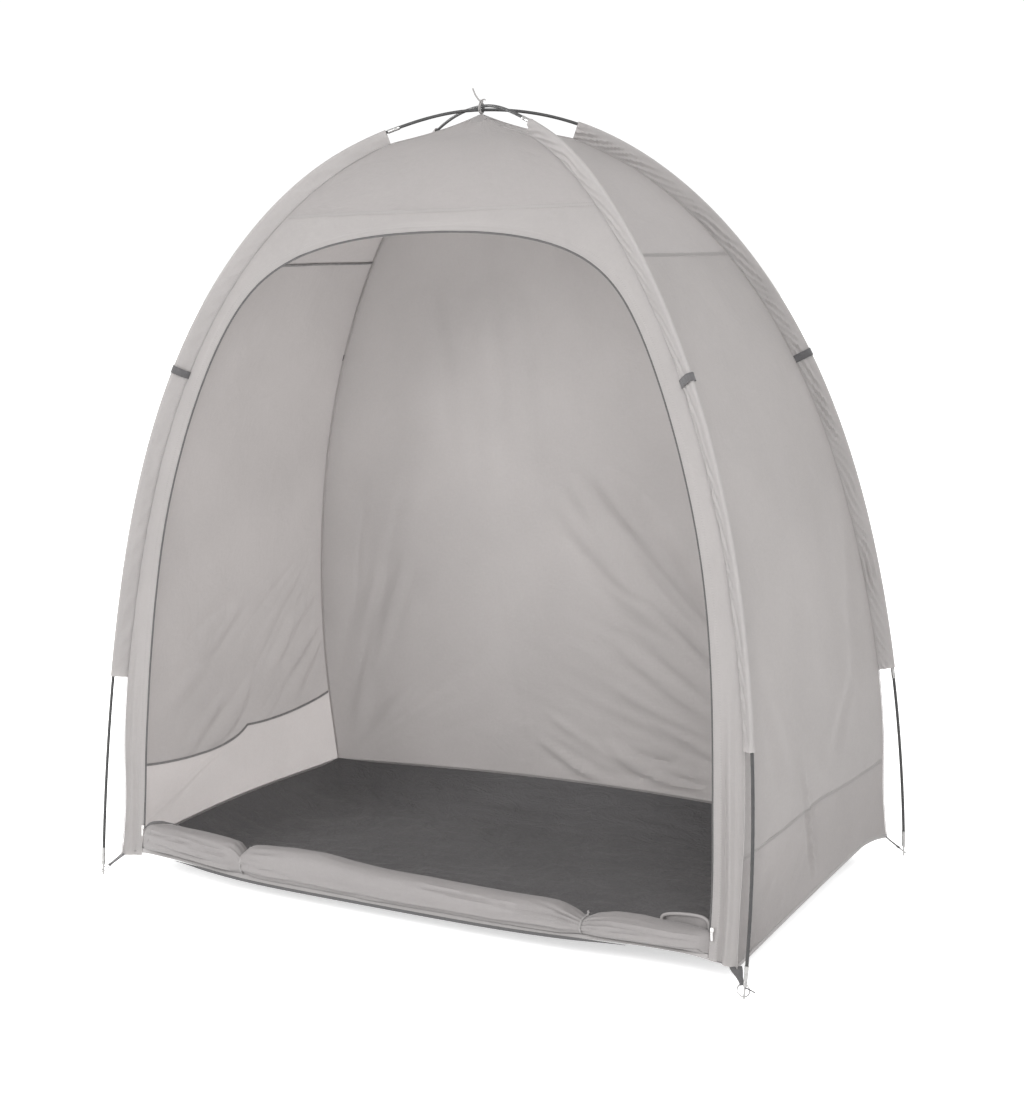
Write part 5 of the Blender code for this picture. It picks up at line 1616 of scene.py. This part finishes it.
# ------------------------------------------------------------ small solids
def blob_parts(centre, axes, half, power=0.45, rows=12, cols=20):
    """A rounded block: half sizes along three axes, squarer as the power falls."""
    centre, axes = np.asarray(centre, float), [unit(np.asarray(a, float)) for a in axes]
    lat = np.linspace(-math.pi / 2 + 0.10, math.pi / 2 - 0.10, rows)[:, None]
    lon = np.linspace(0, 2 * math.pi, cols, endpoint=False)[None, :]
    sp = lambda v: np.sign(v) * np.abs(v) ** power
    a = sp(np.cos(lat)) * sp(np.cos(lon)) * half[0]
    b = sp(np.cos(lat)) * sp(np.sin(lon)) * half[1]
    c = sp(np.sin(lat)) * half[2] + 0 * lon
    p = centre + a[..., None] * axes[0] + b[..., None] * axes[1] + c[..., None] * axes[2]
    r, k = np.meshgrid(np.arange(rows - 1), np.arange(cols), indexing="ij")
    r, k = r.ravel(), k.ravel()
    k1 = (k + 1) % cols
    quads = np.stack([r * cols + k, r * cols + k1, (r + 1) * cols + k1, (r + 1) * cols + k], 1)
    top = (rows - 1) * cols
    low_cap = [(j + 1, j, cols - 1 - j, cols - 2 - j) for j in range(cols // 2 - 1)]
    top_cap = [(top + j, top + j + 1, top + cols - 2 - j, top + cols - 1 - j) for j in range(cols // 2 - 1)]
    faces = np.concatenate([quads, np.array(low_cap), np.array(top_cap)])
    if np.dot(np.cross(axes[0], axes[1]), axes[2]) < 0:
        faces = faces[:, ::-1]
    flat = p.reshape(-1, 3)
    uv = np.stack([(flat - centre) @ axes[0], (flat - centre) @ axes[2]], -1)[faces]
    return flat, faces, uv


# zip sliders: body, bridge and hanging pull
for _name, _sx, _z in (("left", -1, 0.125), ("right", 1, 0.117)):
    _out = float(door_half(_z)) + (-0.0015 if _sx < 0 else 0.005)
    _c = wall("front", _sx * _out, _z, -0.0030)
    _hi = wall("front", _sx * _out, _z + 0.01, -0.0030)
    _upv = unit(_hi - _c)
    _xv = np.array((1.0, 0.0, 0.0))
    _nv = unit(np.cross(_xv, _upv))
    _tab = unit(_upv + 0.10 * _nv - 0.06 * _sx * _xv)
    _parts = [
        blob_parts(_c + _upv * 0.0095 + _nv * 0.0004, (_xv, _nv, _upv), (0.0046, 0.0022, 0.0058), 0.5),
        blob_parts(_c + _upv * 0.0095 + _nv * 0.0028, (_xv, _nv, _upv), (0.0013, 0.0012, 0.0046), 0.7),
        blob_parts(_c - _tab * 0.0060 + _nv * 0.0018, (_xv, _nv, _tab), (0.0029, 0.0010, 0.0098), 0.5),
    ]
    _ang = np.linspace(0, 2 * math.pi, 24, endpoint=False)
    _link = _c + _upv * 0.0035 + _nv * 0.0026
    _loop = _link + _xv * 0.0026 * np.cos(_ang)[:, None] + _tab * 0.0034 * np.sin(_ang)[:, None]
    _parts.append(tube_parts(_loop, 0.0007, 8, closed=True, first=_nv))
    _v, _q, _u = join_parts(_parts)
    _made = mesh_from("slider_" + _name, _v, _q, _u, PULL, 50.0)
    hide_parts("zip_slider_" + _name)

# ties round the rolled door
for _name, _where in (("left", TIES[0]), ("right", TIES[1])):
    _phi = np.linspace(math.radians(205), math.radians(205 + 378), 90)
    _g = np.linspace(0.0011, 0.0019, 90)
    _xx = np.full(90, _where)
    _cz, _hy, _hz = roll_size(_xx)
    _round = np.stack([_xx, ROLL_Y - (_hy + _g) * squared(np.sin(_phi)), _cz - (_hz + _g) * squared(np.cos(_phi))], 1)
    _across = np.broadcast_to(np.array((1.0, 0.05, 0.0)), _round.shape)
    _parts = [band_parts(_round, _across, 0.0048, 0.0009, cols=4)]
    _top = _round[0]
    _tail = _top + np.stack(
        [np.linspace(0, 0.003, 12), np.linspace(0, 0.005, 12), 0.0005 + 0.008 * np.sin(np.linspace(0, 1.5, 12))], 1
    )
    _parts.append(band_parts(_tail, np.broadcast_to(np.array((1.0, -0.3, 0.0)), _tail.shape), 0.0045, 0.0008, cols=3))
    _tail2 = _top + np.stack(
        [np.linspace(0.0, -0.007, 12), np.linspace(0.002, 0.020, 12), 0.0015 + 0.007 * np.sin(np.linspace(0, 2.6, 12))], 1
    )
    _parts.append(band_parts(_tail2, np.broadcast_to(np.array((1.0, 0.3, 0.0)), _tail2.shape), 0.0045, 0.0008, cols=3))
    _parts.append(blob_parts(_top + (0, 0.001, 0.0014), ((1, 0, 0), (0, 1, 0), (0, 0, 1)), (0.0042, 0.0030, 0.0026), 0.8))
    _v, _q, _u = join_parts(_parts)
    _made = mesh_from("tie_tape_" + _name, _v, _q, _u, TAPE, 50.0)
    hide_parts("door_tie_" + _name)

# ------------------------------------------------------------ seams
STITCH_LINES = []


def seam_path(side, line, depth, n=220, rise=0.0, reach=1.0):
    s = np.linspace(-reach, reach, n)
    z = line(s) + rise
    across = s * half_across(side, z)
    if side == "right":
        depth = depth - right_tuck(across, z)
    return wall(side, across, z, depth)


def seam_strip(name, side, line, width, thick, depth, look, n=220, rise=0.0, reach=1.0, cols=3):
    path = seam_path(side, line, depth, n, rise, reach)
    across = seam_path(side, line, depth, n, rise + 0.003, reach) - path
    return tape(name, path, across, width, thick, look, cols=cols)


def out_of(side):
    return np.array({"front": (0, -1, 0.12), "back": (0, 1, 0.12), "left": (-1, 0, 0.2), "right": (1, 0, 0.2)}[side], float)


UPPER_LOOK = {"front": FRONT, "back": OUTER, "left": OUTER, "right": RIGHT}
UPPER = {"front": FRONT_SEAM, "back": FRONT_SEAM, "left": SIDE_SEAM, "right": SIDE_SEAM}
for _side, _z in UPPER.items():
    _seed = 171 + len(_side)
    _line = lambda s, _z=_z, _seed=_seed: _z + 0.0011 * noise(s * 7.0, 0.4, _seed)
    seam_strip("upper_seam_" + _side, _side, _line, 0.0095, 0.0004, 0.0000, UPPER_LOOK[_side], reach=0.992, cols=4)
    seam_strip("upper_binding_" + _side, _side, _line, 0.0062, 0.0018, 0.0024, BINDING, reach=0.985)
    for _off in (-0.0034, 0.0034):
        STITCH_LINES.append((seam_path(_side, _line, -0.00055, rise=_off, reach=0.99), out_of(_side)))
for _side in ("left", "right"):
    _line = lambda s, _side=_side: skirt_seam(_side, s)
    seam_strip("skirt_seam_" + _side, _side, _line, 0.0070, 0.0004, 0.0000, UPPER_LOOK[_side], reach=0.994, cols=4)
    seam_strip("skirt_binding_" + _side, _side, _line, 0.0062, 0.0018, 0.0024, BINDING, reach=0.985)
    for _off in (-0.0032, 0.0032):
        STITCH_LINES.append((seam_path(_side, _line, -0.00055, rise=_off, reach=0.99), out_of(_side)))

# turned hems over the groundsheet's edge
for _side in ("left", "right", "back"):
    _line = lambda s, _side=_side: hem(_side, s) + 0.0052
    seam_strip("hem_" + _side, _side, _line, 0.0098, 0.0007, 0.0001, SEAM, n=260, reach=0.996, cols=4)
    STITCH_LINES.append((seam_path(_side, _line, -0.0004, rise=0.0030, reach=0.99), out_of(_side)))
    STITCH_LINES.append((seam_path(_side, _line, -0.0004, rise=-0.0028, reach=0.99), out_of(_side)))
_line = lambda s: hem("front", s) + 0.0046
for _path in (seam_path("front", _line, 0.0004, n=300, rise=0.0026, reach=0.99),):
    for _sign in (-1, 1):
        _jamb = _path[_path[:, 0] * _sign > 0.850]
        STITCH_LINES.append((_jamb, out_of("front")))


# corner seams: a piped edge outside and a bound seam inside
def corner_line(sx, sy, n=240):
    z = np.linspace(HEM_CORNER + 0.001 + (BACK_TIP if sy > 0 else 0.0), RULED_TOP, n)
    low = np.stack([sx * corner_x(z), sy * corner_y(z), z], 1)
    q = np.linspace(0.02, 0.985, 46)
    base = low[-1]
    up = (PEAK - RULED_TOP) * (0.72 * q + 0.28 * q**3)
    roof = np.stack([base[0] * (1 - q), base[1] * (1 - q), RULED_TOP + up], 1)
    path, _ = resample(np.concatenate([low, roof]), 0.010)
    for _ in range(4):
        path[1:-1] = 0.5 * path[1:-1] + 0.25 * (path[:-2] + path[2:])
    return path


for _name, (_sx, _sy, _) in CORNERS.items():
    _path = corner_line(_sx, _sy)
    _out = np.array((_sx * 0.0009, _sy * 0.0008, 0.0))
    tube("corner_piping_" + _name, _path + _out, 0.0011, SEAM, sides=10)
    _fin = _path[(_path[:, 2] < 1.93)]
    _fin = _fin + (-_sx * 0.0042, -_sy * 0.0024, 0.0)
    _flat_in = np.broadcast_to(np.array((-_sx * 1.0, _sy * 0.10, 0.0)), _fin.shape)
    tape("corner_bound_seam_" + _name, _fin, _flat_in, 0.0070, 0.0005, BOUND, cols=3)

# patch of cloth under the pole crossing
_a = np.linspace(0, 2 * math.pi, 40, endpoint=False)[None, :]
_r = np.linspace(0.0006, 0.030, 10)[:, None]
_own_x, _own_y = float(corner_x(RULED_TOP)), float(corner_y(RULED_TOP))
_px, _py = _r * np.cos(_a), _r * np.sin(_a)
_q = 1.0 - np.maximum(np.abs(_px) / _own_x, np.abs(_py) / _own_y)
_pz = RULED_TOP + (PEAK - RULED_TOP) * (0.72 * _q + 0.28 * _q**3)
_pz = np.minimum(_pz, PEAK - 0.0028) + 0.0012
_q3 = np.stack([_px, _py, _pz], -1)
_made = cloth("peak_patch", _q3, SEAM, thick=0.0006, wrap=True)


# ------------------------------------------------------------ stitching
def at_distance(grid, distance, columns=None):
    """The line that keeps one distance from a grid's first row, on its surface."""
    run = np.concatenate([np.zeros((1, grid.shape[1])), np.cumsum(np.linalg.norm(np.diff(grid, axis=0), axis=-1), axis=0)])
    lines = []
    for c in range(grid.shape[1]):
        lines.append([np.interp(distance, run[:, c], grid[:, c, k]) for k in range(3)])
    return np.array(lines)


for _d in (0.0035, 0.0165, 0.0190):
    _line3 = at_distance(SURROUND, _d)
    STITCH_LINES.append((_line3 + (0.0, -0.00015, 0.0), np.array((0.0, -1.0, 0.12))))
stitches("seam_stitches", STITCH_LINES, THREAD, "fabric_outer")

_lines = []
for _name, _grid in SLEEVES.items():
    for _col in SLEEVE_COLS:
        _path = _grid[2:-2, _col]
        _other = _grid[2:-2, (_col + 4) % _grid.shape[1]]
        _ahead = np.gradient(_path, axis=0)
        _n = unit(np.cross(_ahead, _other - _path))
        _mid3 = _grid[2:-2].mean(1)
        _n = np.where(((_path - _mid3) * _n).sum(-1, keepdims=True) < 0, -_n, _n)
        _lines.append((_path + _n * 0.0001, _n))
stitches("sleeve_stitches", _lines, THREAD, "fabric_sleeve")

# loose tail of webbing at one foot
_low, _along, _ = foot_axis("front_right")
_start = _low + _along * 0.0270 + np.array((0.001, -0.002, 0.0))
_k = np.linspace(0, 1, 14)[:, None]
_tail = _start + np.array((0.021, 0.006, -0.006)) * _k + np.array((0.0, 0.0, -0.004)) * _k**2
tube("foot_strap_tail", _tail, 0.0016, WEB, sides=10, flat=0.6)

# ------------------------------------------------------------ light and floor
scene = bpy.context.scene
world = bpy.data.worlds.new("studio")
world.use_nodes = True
world.node_tree.nodes["Background"].inputs["Color"].default_value = (1.0, 1.0, 1.0, 1.0)
world.node_tree.nodes["Background"].inputs["Strength"].default_value = 1.05
scene.world = world
scene.view_settings.view_transform = "Standard"


def softbox(name, spot, aim, size, power):
    data = bpy.data.lights.new(name, "AREA")
    data.shape = "RECTANGLE"
    data.size, data.size_y = size
    data.energy = power
    made = bpy.data.objects.new(name, data)
    made.location = spot
    made.rotation_euler = (Vector(aim) - Vector(spot)).to_track_quat("-Z", "Y").to_euler()
    made.visible_camera = False
    scene.collection.objects.link(made)


softbox("key_left", (-2.6, -5.8, 3.6), (0.0, 0.0, 0.9), (2.6, 2.6), 285.0)
softbox("key_right", (3.7, -5.0, 4.2), (0.0, 0.0, 0.9), (2.2, 2.2), 275.0)
softbox("behind_left", (-5.2, 2.0, 2.6), (0.0, 0.0, 0.7), (1.5, 1.5), 195.0)
softbox("behind_right", (5.0, 2.8, 4.8), (0.0, 0.0, 0.9), (1.5, 1.5), 105.0)

floor_mat, _tree, _shader, _at = textured("studio_floor", "object")
_tree.links.new(
    tinted(_tree, (0.82, 0.82, 0.82), ranged(_tree, noise_of(_tree, _at, 3.0, 3.0), 0.3, 0.7, 0.99, 1.01)),
    _shader.inputs["Base Color"],
)
_shader.inputs["Roughness"].default_value = 0.85
_shader.inputs["Specular IOR Level"].default_value = 0.1
_shader.inputs["Emission Color"].default_value = (1.0, 1.0, 1.0, 1.0)
_shader.inputs["Emission Strength"].default_value = 0.55
ground_mesh = bpy.data.meshes.new("floor")
ground_mesh.from_pydata([(-60, -60, 0), (60, -60, 0), (60, 60, 0), (-60, 60, 0)], [], [(0, 1, 2, 3)])
ground_mesh.materials.append(floor_mat)
ground_obj = bpy.data.objects.new("floor", ground_mesh)
ground_obj.location.z = -0.0004
scene.collection.objects.link(ground_obj)
